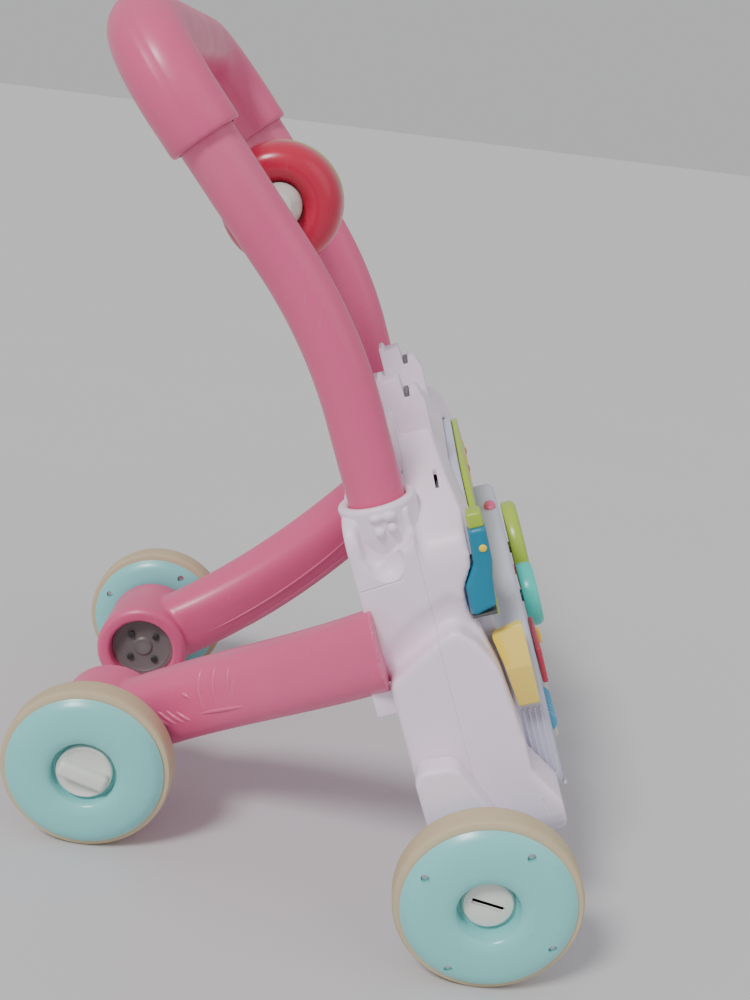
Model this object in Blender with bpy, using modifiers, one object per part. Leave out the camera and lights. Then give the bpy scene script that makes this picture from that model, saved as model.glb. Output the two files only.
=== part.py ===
"""Push-along baby walker with a lift-off activity panel, modelled in metres, +Z up, front towards -Y.

The origin is on the floor, midway between the axles and on the plane of symmetry.
The body leans back, so its shells and the panel are drawn in a leaning frame:
x across, y into the body from its front, z up along the lean.
"""

import math

import bmesh
import bpy
from mathutils import Matrix, Vector

# Running gear
WHEEL_RADIUS = 0.052
WHEEL_WIDTH = 0.033
TYRE_PROUD = 0.0041
DISC_RADIUS = WHEEL_RADIUS - TYRE_PROUD
HALF_WHEELBASE = 0.1195
FRONT_OUTER = 0.230
REAR_OUTER = 0.137
AXLE_RADIUS = 0.004
AXLE_PLAY = 0.0005
WHEEL_GAP = 0.0015
WHEEL_STEPS = 24
TYRE_WIDTH = 0.018
DRUM_DROP = 0.0079
DRUM_RADIUS = DISC_RADIUS - DRUM_DROP
FRONT_WELL_RADIUS = 0.0175
FRONT_WELL_FLOOR = 0.0190
REAR_WELL_RADIUS = 0.0200
REAR_WELL_FLOOR = 0.0236
FLOOR_WALL = 0.0022

# Body
LEAN = math.radians(21.0)
GAP = 0.0003
SLIDE_GAP = 0.0006
SHELL_WALL = 0.003
BODY_BOTTOM = 0.046
BODY_LOW_HALF = 0.178
BODY_HIGH_HALF = 0.165
SHOULDER_LOW = 0.148
SHOULDER_HIGH = 0.178
BACK_FACE = 0.012
SEAM = -0.025
RIM_FACE = -0.058
SIDE_TOP = 0.258
ARCH_SIDE = 0.235
ARCH_TOP = 0.281
ARCH_CUT_START = 0.240
ARCH_CUT_TILT = math.radians(17.0)
NECK_HALF = 0.070
NECK_TOP = 0.290
CROWN_HALF_SPACING = 0.052
CROWN_WIDTH = 0.022
CROWN_TOP = 0.312
CROWN_FRONT = -0.045
CROWN_BACK = -0.0205
CROWN_STEP = -0.0345
CROWN_DROP = 0.0085
CROWN_SLOT = 0.003
CROWN_ROOT = 0.020
RIB_THICKNESS = 0.004
RIB_HALF = 0.110
RIB_HEIGHTS = (0.095, 0.215)
LIP_FACE = -0.0705
LIP_TOP = 0.078
NOTCH_LOW = 0.184
NOTCH_HIGH = 0.252
NOTCH_DEPTH = -0.0450

# Handle
HANDLE_HALF_SPACING = 0.138
ARM_RADIUS = 0.016
ARM_WALL = 0.0025
ARM_DEPTH = -0.009
ARM_FOOT = 0.196
ARM_STRAIGHT_TOP = 0.310
ARM_BEND_RADIUS = 0.284
ARM_BEND = math.radians(18.5)
ARM_TOP_RUN = 0.071
SLEEVE_OVERLAP = 0.020
GRIP_RADIUS = 0.0205
SLEEVE_GAP = 0.0009
GRIP_RISE = 0.065
GRIP_CORNER = 0.048
TUBE_RINGS = 4
ROD_SIDES = 16
SOCKET_WALL = 0.0055
SOCKET_RADIUS = ARM_RADIUS + SOCKET_WALL
SOCKET_FOOT = 0.230
SOCKET_TOP = 0.262

# Spinning roller between the arms
ROLLER_RUN = 0.022
ROLLER_RADIUS = 0.038
ROLLER_BORE = 0.0138
ROLLER_HALF_WIDTH = 0.030
CONE_REACH = 0.046
ROD_RADIUS = 0.005
ROD_PLAY = 0.0004

# Rear legs
HUB_RADIUS = 0.033
HUB_INNER = 0.046
HUB_WELL_RADIUS = 0.023
HUB_WELL_DEPTH = 0.012
LEG_WIDTH = 0.042
LEG_HEIGHT = 0.046
LEG_WALL = 0.003
LEG_SIDES = 16

# Activity panel
TRIM_INSET = 0.003
TRIM_FACE = -0.0605
PANEL_LOW_HALF = 0.143
PANEL_HIGH_HALF = 0.150
PANEL_BOTTOM = 0.058
PANEL_TOP = 0.248
PLAY_STEP = 0.0006
PLAY_SIDE = 0.1700
PLAY_TOP = 0.197
PANEL_STEP_LOW = 0.160
PANEL_STEP_HIGH = 0.176
PANEL_BACK = -0.030
PANEL_SPLIT = -0.040
BOARD_FACE = -0.0565
PANEL_FACE = -0.0745
PANEL_WALL = 0.0026
KEY_COUNT = 5
KEY_PITCH = 0.0340
KEY_WIDTH = 0.0325
KEY_BOTTOM = 0.0640
KEY_LENGTH = 0.0300
KEY_FACE = -0.0780
KEY_BACK = -0.0700
GREEN_RADIUS = 0.032
GREEN_PLACE = (0.032, 0.1535)
TEAL_RADIUS = 0.021
TEAL_PLACE = (-0.034, 0.1430)
DISC_BACK = -0.0765
DISC_FRONT = -0.0865
DOOR_WIDTH = 0.050
DOOR_HEIGHT = 0.023
DOOR_PLACE = (-0.092, 0.1300)
BLUE_ROLLER_RADIUS = 0.0070
BLUE_ROLLER_ENDS = (-0.125, -0.090)
BLUE_ROLLER_HEIGHT = 0.0970
FACE_PLAY = 0.001
SWITCH_PLACE = (0.112, 0.108)
SWITCH_SLOT = 0.022
SWITCH_HEIGHT = 0.006
SWITCH_WIDTH = 0.008
LATCH_LOW = 0.126
LATCH_RIDGE = 0.153
LATCH_HIGH = 0.177
LATCH_WIDTH = 0.017
LATCH_BACK = -0.0590
LATCH_FRONT = -0.0712
HANDSET_FOOT = 0.190
HANDSET_HEIGHT = 0.050
HANDSET_WIDTH = 0.016
HANDSET_GAP = 0.001
BOARD_HALF = 0.070
BOARD_LOW = 0.100
BOARD_HIGH = 0.172
BOARD_PLACE = -0.0560
BATTERY_DOOR_HALF = 0.036
BATTERY_DOOR_LOW = 0.119
BATTERY_DOOR_HIGH = 0.181
BATTERY_RADIUS = 0.007
BATTERY_LENGTH = 0.050
SPEAKER_RADIUS = 0.020


# Scene helpers

for leftover in list(bpy.data.objects):
    bpy.data.objects.remove(leftover)

parts = bpy.data.collections.new("baby_walker")
cutters = bpy.data.collections.new("cutters")
bpy.context.scene.collection.children.link(parts)
bpy.context.scene.collection.children.link(cutters)


def material(name, colour, roughness=0.45, metallic=0.0):
    made = bpy.data.materials.new(name)
    made.use_nodes = True
    shader = made.node_tree.nodes["Principled BSDF"]
    shader.inputs["Base Color"].default_value = (*colour, 1.0)
    shader.inputs["Roughness"].default_value = roughness
    shader.inputs["Metallic"].default_value = metallic
    return made


PINK = material("pink_plastic", (0.62, 0.16, 0.26))
WHITE = material("white_plastic", (0.76, 0.70, 0.76))
LAVENDER = material("lavender_plastic", (0.62, 0.62, 0.74))
MINT = material("mint_plastic", (0.26, 0.60, 0.56))
BEIGE = material("beige_tyre", (0.62, 0.52, 0.36), 0.7)
IVORY = material("ivory_plastic", (0.80, 0.79, 0.74))
STEEL = material("steel", (0.55, 0.55, 0.56), 0.3, 1.0)
RED = material("red_plastic", (0.60, 0.04, 0.09))
GREEN = material("green_plastic", (0.38, 0.60, 0.10))
TEAL = material("teal_plastic", (0.07, 0.52, 0.40))
BLUE = material("blue_plastic", (0.01, 0.33, 0.50))
SKY = material("sky_plastic", (0.12, 0.38, 0.62))
YELLOW = material("yellow_plastic", (0.78, 0.50, 0.06))
BOARD = material("board", (0.05, 0.22, 0.10), 0.6)
DARK = material("dark_plastic", (0.05, 0.05, 0.06), 0.6)
GREY = material("grey_plastic", (0.45, 0.44, 0.45))

lean_frame = bpy.data.objects.new("lean_frame", None)
lean_frame.location = (0.0, -HALF_WHEELBASE, 0.0)
lean_frame.rotation_euler = (-LEAN, 0.0, 0.0)
parts.objects.link(lean_frame)


def add(mesh, name, skin=None, parent=None, collection=parts):
    """A mesh as a named object, with its material and parent."""
    made = bpy.data.objects.new(name, mesh)
    collection.objects.link(made)
    made.parent = parent
    if skin:
        mesh.materials.clear()
        mesh.materials.append(skin)
    if collection is cutters:
        made.hide_render = True
        made.display_type = "WIRE"
    return made


def outward(mesh):
    """Faces turned to point out of the closed mesh."""
    shape = bmesh.new()
    shape.from_mesh(mesh)
    bmesh.ops.remove_doubles(shape, verts=shape.verts, dist=1e-6)
    bmesh.ops.recalc_face_normals(shape, faces=shape.faces)
    shape.to_mesh(mesh)
    shape.free()
    return mesh


def rounded(corners, steps=4):
    """Outline points of a polygon whose corners (a, b, radius) are rounded by arcs."""
    points = []
    count = len(corners)
    for index, (a, b, radius) in enumerate(corners):
        here = Vector((a, b))
        before = Vector(corners[index - 1][:2]) - here
        after = Vector(corners[(index + 1) % count][:2]) - here
        if radius == 0:
            points.append(here)
            continue
        half = before.angle(after) / 2
        reach = radius / math.tan(half)
        start = here + before.normalized() * reach
        end = here + after.normalized() * reach
        middle = here + (before.normalized() + after.normalized()).normalized() * radius / math.sin(half)
        first = start - middle
        turn = first.angle_signed(end - middle)
        for step in range(steps + 1):
            arm = first.copy()
            arm.rotate(Matrix.Rotation(-turn * step / steps, 2))
            points.append(middle + arm)
    return points


def mirrored(half):
    """A closed list of corners from those of the right half, bottom to top."""
    return list(half) + [(-a, b, radius) for a, b, radius in reversed(half)]


def outline_mesh(points, low, high, facing="front"):
    """A flat outline extruded from low to high. Front outlines lie in x, z and run along y;
    side outlines lie in y, z and run along x."""
    curve = bpy.data.curves.new("outline", "CURVE")
    curve.dimensions = "2D"
    curve.fill_mode = "BOTH"
    curve.extrude = (high - low) / 2
    spline = curve.splines.new("POLY")
    spline.points.add(len(points) - 1)
    for point, place in zip(spline.points, points):
        point.co = (place[0], place[1], 0.0, 1.0)
    spline.use_cyclic_u = True
    holder = bpy.data.objects.new("outline", curve)
    parts.objects.link(holder)
    graph = bpy.context.evaluated_depsgraph_get()
    mesh = bpy.data.meshes.new_from_object(holder.evaluated_get(graph))
    bpy.data.objects.remove(holder)
    middle = (high + low) / 2
    if facing == "front":
        turn = Matrix(((1, 0, 0, 0), (0, 0, -1, middle), (0, 1, 0, 0), (0, 0, 0, 1)))
    else:
        turn = Matrix(((0, 0, 1, middle), (1, 0, 0, 0), (0, 1, 0, 0), (0, 0, 0, 1)))
    mesh.transform(turn)
    return outward(mesh)


def opened(mesh, axis, value):
    """The mesh without its faces on the plane where the axis has that value."""
    shape = bmesh.new()
    shape.from_mesh(mesh)
    flat = [f for f in shape.faces if all(abs(v.co[axis] - value) < 1e-6 for v in f.verts)]
    bmesh.ops.delete(shape, geom=flat, context="FACES")
    shape.to_mesh(mesh)
    shape.free()
    return mesh


def thickened(made, wall):
    """An open surface given an inner wall."""
    solid = made.modifiers.new("wall", "SOLIDIFY")
    solid.thickness = wall
    solid.offset = -1.0
    solid.use_even_offset = True
    return made


def bake(made):
    """Modifiers made part of the mesh."""
    graph = bpy.context.evaluated_depsgraph_get()
    mesh = bpy.data.meshes.new_from_object(made.evaluated_get(graph))
    made.modifiers.clear()
    made.data = mesh
    return made


def combine(made, tool, operation="DIFFERENCE"):
    """A Boolean of two objects under the same parent, made part of the first."""
    change = made.modifiers.new(operation.lower(), "BOOLEAN")
    change.operation = operation
    change.object = tool
    bake(made)
    if operation != "DIFFERENCE":
        bpy.data.objects.remove(tool)
    return made


def box_mesh(low, high, bevel=0.0):
    """A box between two corners, its edges rounded by one face."""
    shape = bmesh.new()
    bmesh.ops.create_cube(shape, size=1.0)
    size = Vector(high) - Vector(low)
    bmesh.ops.scale(shape, vec=size, verts=shape.verts)
    bmesh.ops.translate(shape, vec=(Vector(high) + Vector(low)) / 2, verts=shape.verts)
    if bevel:
        bmesh.ops.bevel(shape, geom=shape.edges[:], offset=bevel, segments=1, affect="EDGES", profile=0.5)
    mesh = bpy.data.meshes.new("box")
    shape.to_mesh(mesh)
    shape.free()
    return mesh


def turned_mesh(profile, steps, axis, place):
    """A closed profile of (radius, along) turned about a line along X or Y through place."""
    shape = bmesh.new()
    verts = [shape.verts.new((radius, 0.0, along)) for radius, along in profile]
    edges = [shape.edges.new((verts[i - 1], verts[i])) for i in range(len(verts))]
    bmesh.ops.spin(shape, geom=verts + edges, cent=(0, 0, 0), axis=(0, 0, 1), angle=math.tau,
                   steps=steps, use_merge=True, use_duplicate=False)
    if axis == "X":
        turn = Matrix(((0, 0, 1, 0), (0, 1, 0, 0), (1, 0, 0, 0), (0, 0, 0, 1)))
    else:
        turn = Matrix(((1, 0, 0, 0), (0, 0, 1, 0), (0, 1, 0, 0), (0, 0, 0, 1)))
    bmesh.ops.transform(shape, matrix=Matrix.Translation(place) @ turn, verts=shape.verts)
    bmesh.ops.remove_doubles(shape, verts=shape.verts, dist=1e-6)
    bmesh.ops.recalc_face_normals(shape, faces=shape.faces)
    mesh = bpy.data.meshes.new("turned")
    shape.to_mesh(mesh)
    shape.free()
    mesh.shade_smooth()
    mesh.set_sharp_from_angle(angle=math.radians(35))
    return mesh


def rod_mesh(radius, start, end, axis, place, steps=12):
    """A plain round bar from start to end along X or Y, through place."""
    shape = bmesh.new()
    bmesh.ops.create_cone(shape, cap_ends=True, segments=steps, radius1=radius, radius2=radius,
                          depth=end - start)
    turn = Matrix.Rotation(math.pi / 2, 4, "Y") if axis == "X" else Matrix.Rotation(-math.pi / 2, 4, "X")
    shift = Vector(place)
    shift["XY".index(axis)] = (start + end) / 2
    bmesh.ops.transform(shape, matrix=Matrix.Translation(shift) @ turn, verts=shape.verts)
    mesh = bpy.data.meshes.new("rod")
    shape.to_mesh(mesh)
    shape.free()
    mesh.shade_smooth()
    mesh.set_sharp_from_angle(angle=math.radians(40))
    return mesh


def tube_mesh(path, radius, caps):
    """A round tube along a path, open or capped at its ends."""
    curve = bpy.data.curves.new("tube", "CURVE")
    curve.dimensions = "3D"
    curve.bevel_depth = radius
    curve.bevel_resolution = TUBE_RINGS
    curve.use_fill_caps = caps
    spline = curve.splines.new("POLY")
    spline.points.add(len(path) - 1)
    for point, place in zip(spline.points, path):
        point.co = (*place, 1.0)
    holder = bpy.data.objects.new("tube", curve)
    parts.objects.link(holder)
    graph = bpy.context.evaluated_depsgraph_get()
    mesh = bpy.data.meshes.new_from_object(holder.evaluated_get(graph))
    bpy.data.objects.remove(holder)
    if caps:
        outward(mesh)
    return mesh


def sides():
    """The two sides of the walker, as seen by its user: name and sign of x."""
    return (("left", 1.0), ("right", -1.0))


def lean_point(x, depth, height):
    """World place of a point of the leaning frame."""
    across = Vector((x, depth * math.cos(LEAN) + height * math.sin(LEAN) - HALF_WHEELBASE, 0.0))
    across.z = height * math.cos(LEAN) - depth * math.sin(LEAN)
    return across


# Body shells

def back_outline():
    return mirrored([
        (BODY_LOW_HALF, BODY_BOTTOM, 0.028),
        (BODY_LOW_HALF, SHOULDER_LOW, 0.030),
        (BODY_HIGH_HALF, SHOULDER_HIGH, 0.030),
        (BODY_HIGH_HALF, SIDE_TOP, 0.012),
        (NECK_HALF + 0.020, SIDE_TOP, 0.006),
        (NECK_HALF, NECK_TOP, 0.006),
    ])


def front_outline(grow=0.0):
    return mirrored([
        (BODY_LOW_HALF + grow, BODY_BOTTOM - grow, 0.028 + grow),
        (BODY_LOW_HALF + grow, SHOULDER_LOW, 0.030),
        (BODY_HIGH_HALF + grow, SHOULDER_HIGH, 0.030),
        (BODY_HIGH_HALF + grow, ARCH_SIDE + grow, 0.025 + grow),
        (0.120, ARCH_SIDE + 0.027 + grow, 0.050),
        (0.050, ARCH_TOP + grow, 0.060),
    ])


def panel_outline(grow=0.0):
    """The whole panel, up to its arched top."""
    return mirrored([
        (PANEL_LOW_HALF + grow, PANEL_BOTTOM - grow, 0.016 + grow),
        (PANEL_LOW_HALF + grow, PANEL_STEP_LOW, 0.012),
        (PANEL_HIGH_HALF + grow, PANEL_STEP_HIGH, 0.012),
        (PANEL_HIGH_HALF + grow, PANEL_TOP - 0.047 + grow, 0.024 + grow),
        (0.070, PANEL_TOP + grow, 0.070 + grow),
    ])


def play_outline(grow=0.0):
    """The thicker lower part of the panel that carries the toys."""
    inset = grow - PLAY_STEP
    return mirrored([
        (PANEL_LOW_HALF + inset, PANEL_BOTTOM - inset, 0.016 + inset),
        (PANEL_LOW_HALF + inset, PLAY_SIDE + inset, 0.020 + inset),
        (0.050, PLAY_TOP + inset, 0.080 + inset),
    ])


def cut_box(made, low, high):
    """A box taken out of a piece of the leaning frame."""
    tool = add(box_mesh(low, high), made.name + "_cut", None, lean_frame, cutters)
    return combine(made, tool)


def rear_shell():
    mesh = opened(outline_mesh(rounded(back_outline()), SEAM + GAP, BACK_FACE), 1, SEAM + GAP)
    made = bake(thickened(add(mesh, "rear_shell", WHITE, lean_frame), SHELL_WALL))
    for x in (-CROWN_HALF_SPACING, CROWN_HALF_SPACING):
        low = (x - CROWN_WIDTH / 2, CROWN_FRONT, NECK_TOP - CROWN_ROOT)
        high = (x + CROWN_WIDTH / 2, CROWN_BACK, CROWN_TOP)
        combine(made, add(box_mesh(low, high, 0.002), "crown", None, lean_frame), "UNION")
        step = CROWN_TOP - CROWN_DROP
        cut_box(made, (x - CROWN_WIDTH, CROWN_FRONT - 0.01, step),
                (x + CROWN_WIDTH, CROWN_STEP, CROWN_TOP + 0.01))
        cut_box(made, (x - CROWN_WIDTH, CROWN_STEP - CROWN_SLOT, step - CROWN_SLOT),
                (x + CROWN_WIDTH, CROWN_STEP, CROWN_TOP + 0.01))
    for height in RIB_HEIGHTS:
        low = (-RIB_HALF, PANEL_BACK + SLIDE_GAP, height)
        rib = box_mesh(low, (RIB_HALF, BACK_FACE - 0.001, height + RIB_THICKNESS))
        combine(made, add(rib, "rib", None, lean_frame), "UNION")
    for _, side in sides():
        x = side * HANDLE_HALF_SPACING
        collar = rod_mesh_up(SOCKET_RADIUS, SOCKET_FOOT, SOCKET_TOP, x, ARM_DEPTH)
        combine(made, add(collar, "collar", None, lean_frame), "UNION")
        bore_radius = (ARM_RADIUS + GAP) / math.cos(math.pi / ROD_SIDES)
        bore = rod_mesh_up(bore_radius, ARM_FOOT, SOCKET_TOP + 0.01, x, ARM_DEPTH)
        combine(made, add(bore, "socket_bore", None, lean_frame, cutters))
    return made


def sloped_block(name, grow, low, high):
    """The front shell's outer or inner shape, its front cut back towards the top."""
    collection = cutters if grow else parts
    made = add(outline_mesh(rounded(front_outline(grow)), low, high), name, WHITE, lean_frame, collection)
    slope = box_mesh((-0.2, -0.1, 0.0), (0.2, 0.0, 0.1))
    slope.transform(Matrix.Translation((0, low, ARCH_CUT_START)) @ Matrix.Rotation(-ARCH_CUT_TILT, 4, "X"))
    return combine(made, add(slope, "arch_slope", None, lean_frame, cutters))


def front_shell():
    made = sloped_block("front_shell", 0.0, RIM_FACE, SEAM)
    combine(made, sloped_block("front_room", -SHELL_WALL, RIM_FACE + SHELL_WALL, SEAM + 0.01))
    lip = add(outline_mesh(rounded(front_outline()), LIP_FACE, RIM_FACE + 0.001), "lip", None, lean_frame)
    cut_box(lip, (-0.2, LIP_FACE - 0.01, LIP_TOP), (0.2, SEAM, SIDE_TOP + 0.1))
    combine(made, lip, "UNION")
    window = outline_mesh(rounded(panel_outline(SLIDE_GAP)), LIP_FACE - 0.01, SEAM - 0.010)
    combine(made, add(window, "window", None, lean_frame, cutters))
    for _, side in sides():
        x = side * HANDLE_HALF_SPACING
        tool = rod_mesh_up(SOCKET_RADIUS + GAP, SOCKET_FOOT - GAP, SIDE_TOP + 0.02, x, ARM_DEPTH)
        combine(made, add(tool, "front_socket_hole", None, lean_frame, cutters))
        near, far = sorted((side * (PANEL_HIGH_HALF - 0.01), side * (BODY_HIGH_HALF + 0.01)))
        cut_box(made, (near, RIM_FACE - 0.01, NOTCH_LOW), (far, NOTCH_DEPTH, NOTCH_HIGH))
    for x in (-CROWN_HALF_SPACING, CROWN_HALF_SPACING):
        cut_box(made, (x - CROWN_WIDTH / 2 - GAP, CROWN_FRONT - GAP, NECK_TOP - 0.020 - GAP),
                (x + CROWN_WIDTH / 2 + GAP, SEAM + 0.010, CROWN_TOP))
    return made


def rod_mesh_up(radius, low, high, x, depth):
    """A round bar of the leaning frame, standing up along the lean."""
    shape = bmesh.new()
    bmesh.ops.create_cone(shape, cap_ends=True, segments=ROD_SIDES, radius1=radius, radius2=radius,
                          depth=high - low)
    bmesh.ops.translate(shape, vec=(x, depth, (low + high) / 2), verts=shape.verts)
    mesh = bpy.data.meshes.new("rod")
    shape.to_mesh(mesh)
    shape.free()
    return mesh


def wheel_strut(name, side):
    """The block on the side of the body that carries a front wheel."""
    axle_height = WHEEL_RADIUS * math.cos(LEAN)
    axle_depth = -WHEEL_RADIUS * math.sin(LEAN)
    outline = rounded([
        (axle_depth - 0.022, 0.030, 0.018),
        (0.000, 0.030, 0.018),
        (0.002, 0.122, 0.010),
        (-0.030, 0.120, 0.016),
        (-0.044, 0.090, 0.014),
    ])
    inner = BODY_LOW_HALF + GAP
    outer = FRONT_OUTER - WHEEL_WIDTH - WHEEL_GAP
    low, high = sorted((side * inner, side * outer))
    made = add(outline_mesh(outline, low, high, "side"), "wheel_strut_" + name, WHITE, lean_frame)
    bore = rod_mesh(AXLE_RADIUS + GAP, low - 0.01, high + 0.01, "X", (0, axle_depth, axle_height))
    return combine(made, add(bore, "strut_bore", None, lean_frame, cutters))


# Handle

def arm_path(side):
    """Centre line of an arm, from its foot in the body to the end inside the grip."""
    x = side * HANDLE_HALF_SPACING
    points = [(x, ARM_DEPTH, ARM_FOOT), (x, ARM_DEPTH, ARM_STRAIGHT_TOP)]
    for step in range(1, 7):
        angle = ARM_BEND * step / 6
        points.append((x, ARM_DEPTH + ARM_BEND_RADIUS * (1 - math.cos(angle)),
                       ARM_STRAIGHT_TOP + ARM_BEND_RADIUS * math.sin(angle)))
    last = Vector(points[-1])
    along = Vector((0, math.sin(ARM_BEND), math.cos(ARM_BEND)))
    points.append(last + along * (ARM_TOP_RUN + SLEEVE_OVERLAP))
    return [lean_point(*point) for point in points]


def upper_direction():
    """Direction of the arms' straight upper run, in the world."""
    tilt = LEAN + ARM_BEND
    return Vector((0.0, math.sin(tilt), math.cos(tilt)))


def sleeve_start():
    """Where the grip's sleeves start, on the plane of symmetry."""
    end = arm_path(0)[-1]
    return end - upper_direction() * SLEEVE_OVERLAP


def roller_place():
    """The roller's axis, in the world."""
    return sleeve_start() - upper_direction() * (ARM_TOP_RUN - ROLLER_RUN)


def split_tube(name, skin, path, radius, wall, halves):
    """A tube cut lengthwise. Each half is (suffix, direction) and lies on the side that
    its direction points to from the path's middle plane."""
    made = []
    middle = sum((Vector(p) for p in path), Vector()) / len(path)
    for suffix, direction in halves:
        half = add(tube_mesh(path, radius, False), name + "_" + suffix, skin)
        bake(thickened(half, wall))
        across = Vector(direction).to_track_quat("Z", "Y").to_matrix().to_4x4()
        keep = box_mesh((-0.6, -0.6, GAP / 2), (0.6, 0.6, 0.6))
        anchor = middle.copy()
        keep.transform(Matrix.Translation(anchor) @ across)
        combine(half, add(keep, half.name + "_keep"), "INTERSECT")
        half.data.shade_smooth()
        half.data.set_sharp_from_angle(angle=math.radians(40))
        made.append(half)
    return made


def handle_arm(name, side):
    outer, inner = split_tube("handle_arm_" + name, PINK, arm_path(side), ARM_RADIUS, ARM_WALL,
                              (("outer", (side, 0, 0)), ("inner", (-side, 0, 0))))
    hole = rod_mesh(ROD_RADIUS + GAP, side * HANDLE_HALF_SPACING - ARM_RADIUS * 2 * (side > 0),
                    side * HANDLE_HALF_SPACING + ARM_RADIUS * 2 * (side < 0), "X", roller_place())
    combine(inner, add(hole, "rod_hole", None, None, cutters))
    return outer, inner


def grip_path():
    """Centre line of the grip: a sleeve up each arm, joined by a bar with round corners."""
    start = sleeve_start()
    along = upper_direction()
    points = [(HANDLE_HALF_SPACING, 0.0)]
    straight = GRIP_RISE - GRIP_CORNER
    for side in (1.0, -1.0):
        for step in range(5):
            angle = math.pi / 2 * (step / 4 if side > 0 else 1 - step / 4)
            points.append((side * (HANDLE_HALF_SPACING - GRIP_CORNER * (1 - math.cos(angle))),
                           straight + GRIP_CORNER * math.sin(angle)))
    points.append((-HANDLE_HALF_SPACING, 0.0))
    return [start + Vector((x, 0, 0)) + along * run for x, run in points]


def handle_grip():
    front = upper_direction().cross(Vector((1, 0, 0)))
    wall = GRIP_RADIUS - ARM_RADIUS - SLEEVE_GAP
    return split_tube("handle_grip", PINK, grip_path(), GRIP_RADIUS, wall,
                      (("front", -front), ("rear", front)))


def roller():
    """A two-colour roller on a rod between the arms."""
    place = roller_place()
    reach = HANDLE_HALF_SPACING - 0.004
    add(rod_mesh(ROD_RADIUS, -reach, reach, "X", place), "roller_rod", IVORY)
    bore = ROD_RADIUS + ROD_PLAY
    waist = ROLLER_BORE - GAP
    core = [(bore, -CONE_REACH), (bore + 0.003, -CONE_REACH), (waist, -ROLLER_HALF_WIDTH),
            (waist, ROLLER_HALF_WIDTH), (bore + 0.003, CONE_REACH), (bore, CONE_REACH)]
    add(turned_mesh(core, WHEEL_STEPS, "X", place), "roller_core", IVORY)
    width = ROLLER_HALF_WIDTH
    edge = ROLLER_RADIUS
    half = [(ROLLER_BORE, GAP / 2), (ROLLER_BORE, width * 0.72), (edge * 0.52, width),
            (edge * 0.78, width * 0.95), (edge * 0.95, width * 0.72), (edge, width * 0.40), (edge, GAP / 2)]
    add(turned_mesh([(r, -x) for r, x in half], WHEEL_STEPS, "X", place), "roller_red", RED)
    add(turned_mesh(half, WHEEL_STEPS, "X", place), "roller_green", GREEN)


# Rear legs

def leg_path(side):
    """Centre line of a rear leg: straight back from the hub, then curving out and up to the body."""
    hub_x = (HUB_INNER + REAR_OUTER - WHEEL_WIDTH - WHEEL_GAP) / 2
    hub = Vector((side * hub_x, HALF_WHEELBASE, WHEEL_RADIUS))
    end = Vector(lean_point(side * (BODY_HIGH_HALF - 0.008), BACK_FACE + GAP, 0.1800))
    bend_one = hub + Vector((-side * 0.006, -0.055, 0.030))
    bend_two = end + Vector((-side * 0.047, 0.052, -0.047))
    points = []
    for step in range(11):
        t = step / 10
        points.append(hub * (1 - t) ** 3 + bend_one * 3 * t * (1 - t) ** 2
                      + bend_two * 3 * t * t * (1 - t) + end * t ** 3)
    return points


def leg_mesh(side, shrink, start, overshoot):
    """The leg's rounded section carried along its path, from the ring numbered start."""
    path = leg_path(side)
    back = lean_point(0, 1, 0) - lean_point(0, 0, 0)
    shape = bmesh.new()
    rings = []
    for index in range(start, len(path)):
        here = path[index]
        ahead = (path[min(index + 1, len(path) - 1)] - path[max(index - 1, 0)]).normalized()
        if index == len(path) - 1:
            here = here - back * overshoot
            ahead = -back
        across = ahead.cross(Vector((0, 0, 1))).normalized()
        up = across.cross(ahead).normalized()
        ring = []
        for corner in range(LEG_SIDES):
            angle = math.tau * corner / LEG_SIDES
            a = math.copysign(abs(math.cos(angle)) ** 0.75, math.cos(angle)) * (LEG_WIDTH / 2 - shrink)
            b = math.copysign(abs(math.sin(angle)) ** 0.75, math.sin(angle)) * (LEG_HEIGHT / 2 - shrink)
            ring.append(shape.verts.new(here + across * a + up * b))
        rings.append(ring)
    edges = [[shape.edges.new((ring[i - 1], ring[i])) for i in range(LEG_SIDES)] for ring in rings]
    for first, second in zip(edges, edges[1:]):
        bmesh.ops.bridge_loops(shape, edges=first + second)
    for ring in (rings[0], rings[-1]):
        shape.faces.new(ring)
    bmesh.ops.recalc_face_normals(shape, faces=shape.faces)
    mesh = bpy.data.meshes.new("leg")
    shape.to_mesh(mesh)
    shape.free()
    return mesh


def rear_leg(name, side):
    """A hollow leg whose hub is open on the inside."""
    made = add(leg_mesh(side, 0.0, 1, 0.0), "rear_leg_" + name, PINK)
    outer = REAR_OUTER - WHEEL_WIDTH - WHEEL_GAP
    centre = (0, HALF_WHEELBASE, WHEEL_RADIUS)
    low, high = sorted((side * HUB_INNER, side * outer))
    hub = rod_mesh(HUB_RADIUS, low, high, "X", centre, 28)
    combine(made, add(hub, "hub"), "UNION")
    core = leg_mesh(side, LEG_WALL, 3, 0.004)
    combine(made, add(core, "leg_core", None, None, cutters))
    well_low, well_high = sorted((side * (HUB_INNER - 0.01), side * (HUB_INNER + HUB_WELL_DEPTH)))
    well = rod_mesh(HUB_WELL_RADIUS, well_low, well_high, "X", centre, 20)
    combine(made, add(well, "hub_well", None, None, cutters))
    bore = rod_mesh(AXLE_RADIUS + GAP, low - 0.01, high + 0.01, "X", centre)
    combine(made, add(bore, "hub_bore", None, None, cutters))
    made.data.shade_smooth()
    made.data.set_sharp_from_angle(angle=math.radians(40))
    cover_low, cover_high = sorted((side * (HUB_INNER + HUB_WELL_DEPTH - 0.0036),
                                    side * (HUB_INNER + HUB_WELL_DEPTH - GAP)))
    cover = rod_mesh(HUB_WELL_RADIUS - GAP, cover_low, cover_high, "X", centre, 20)
    return made, add(cover, "hub_cover_" + name, GREY)


# Wheels

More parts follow.
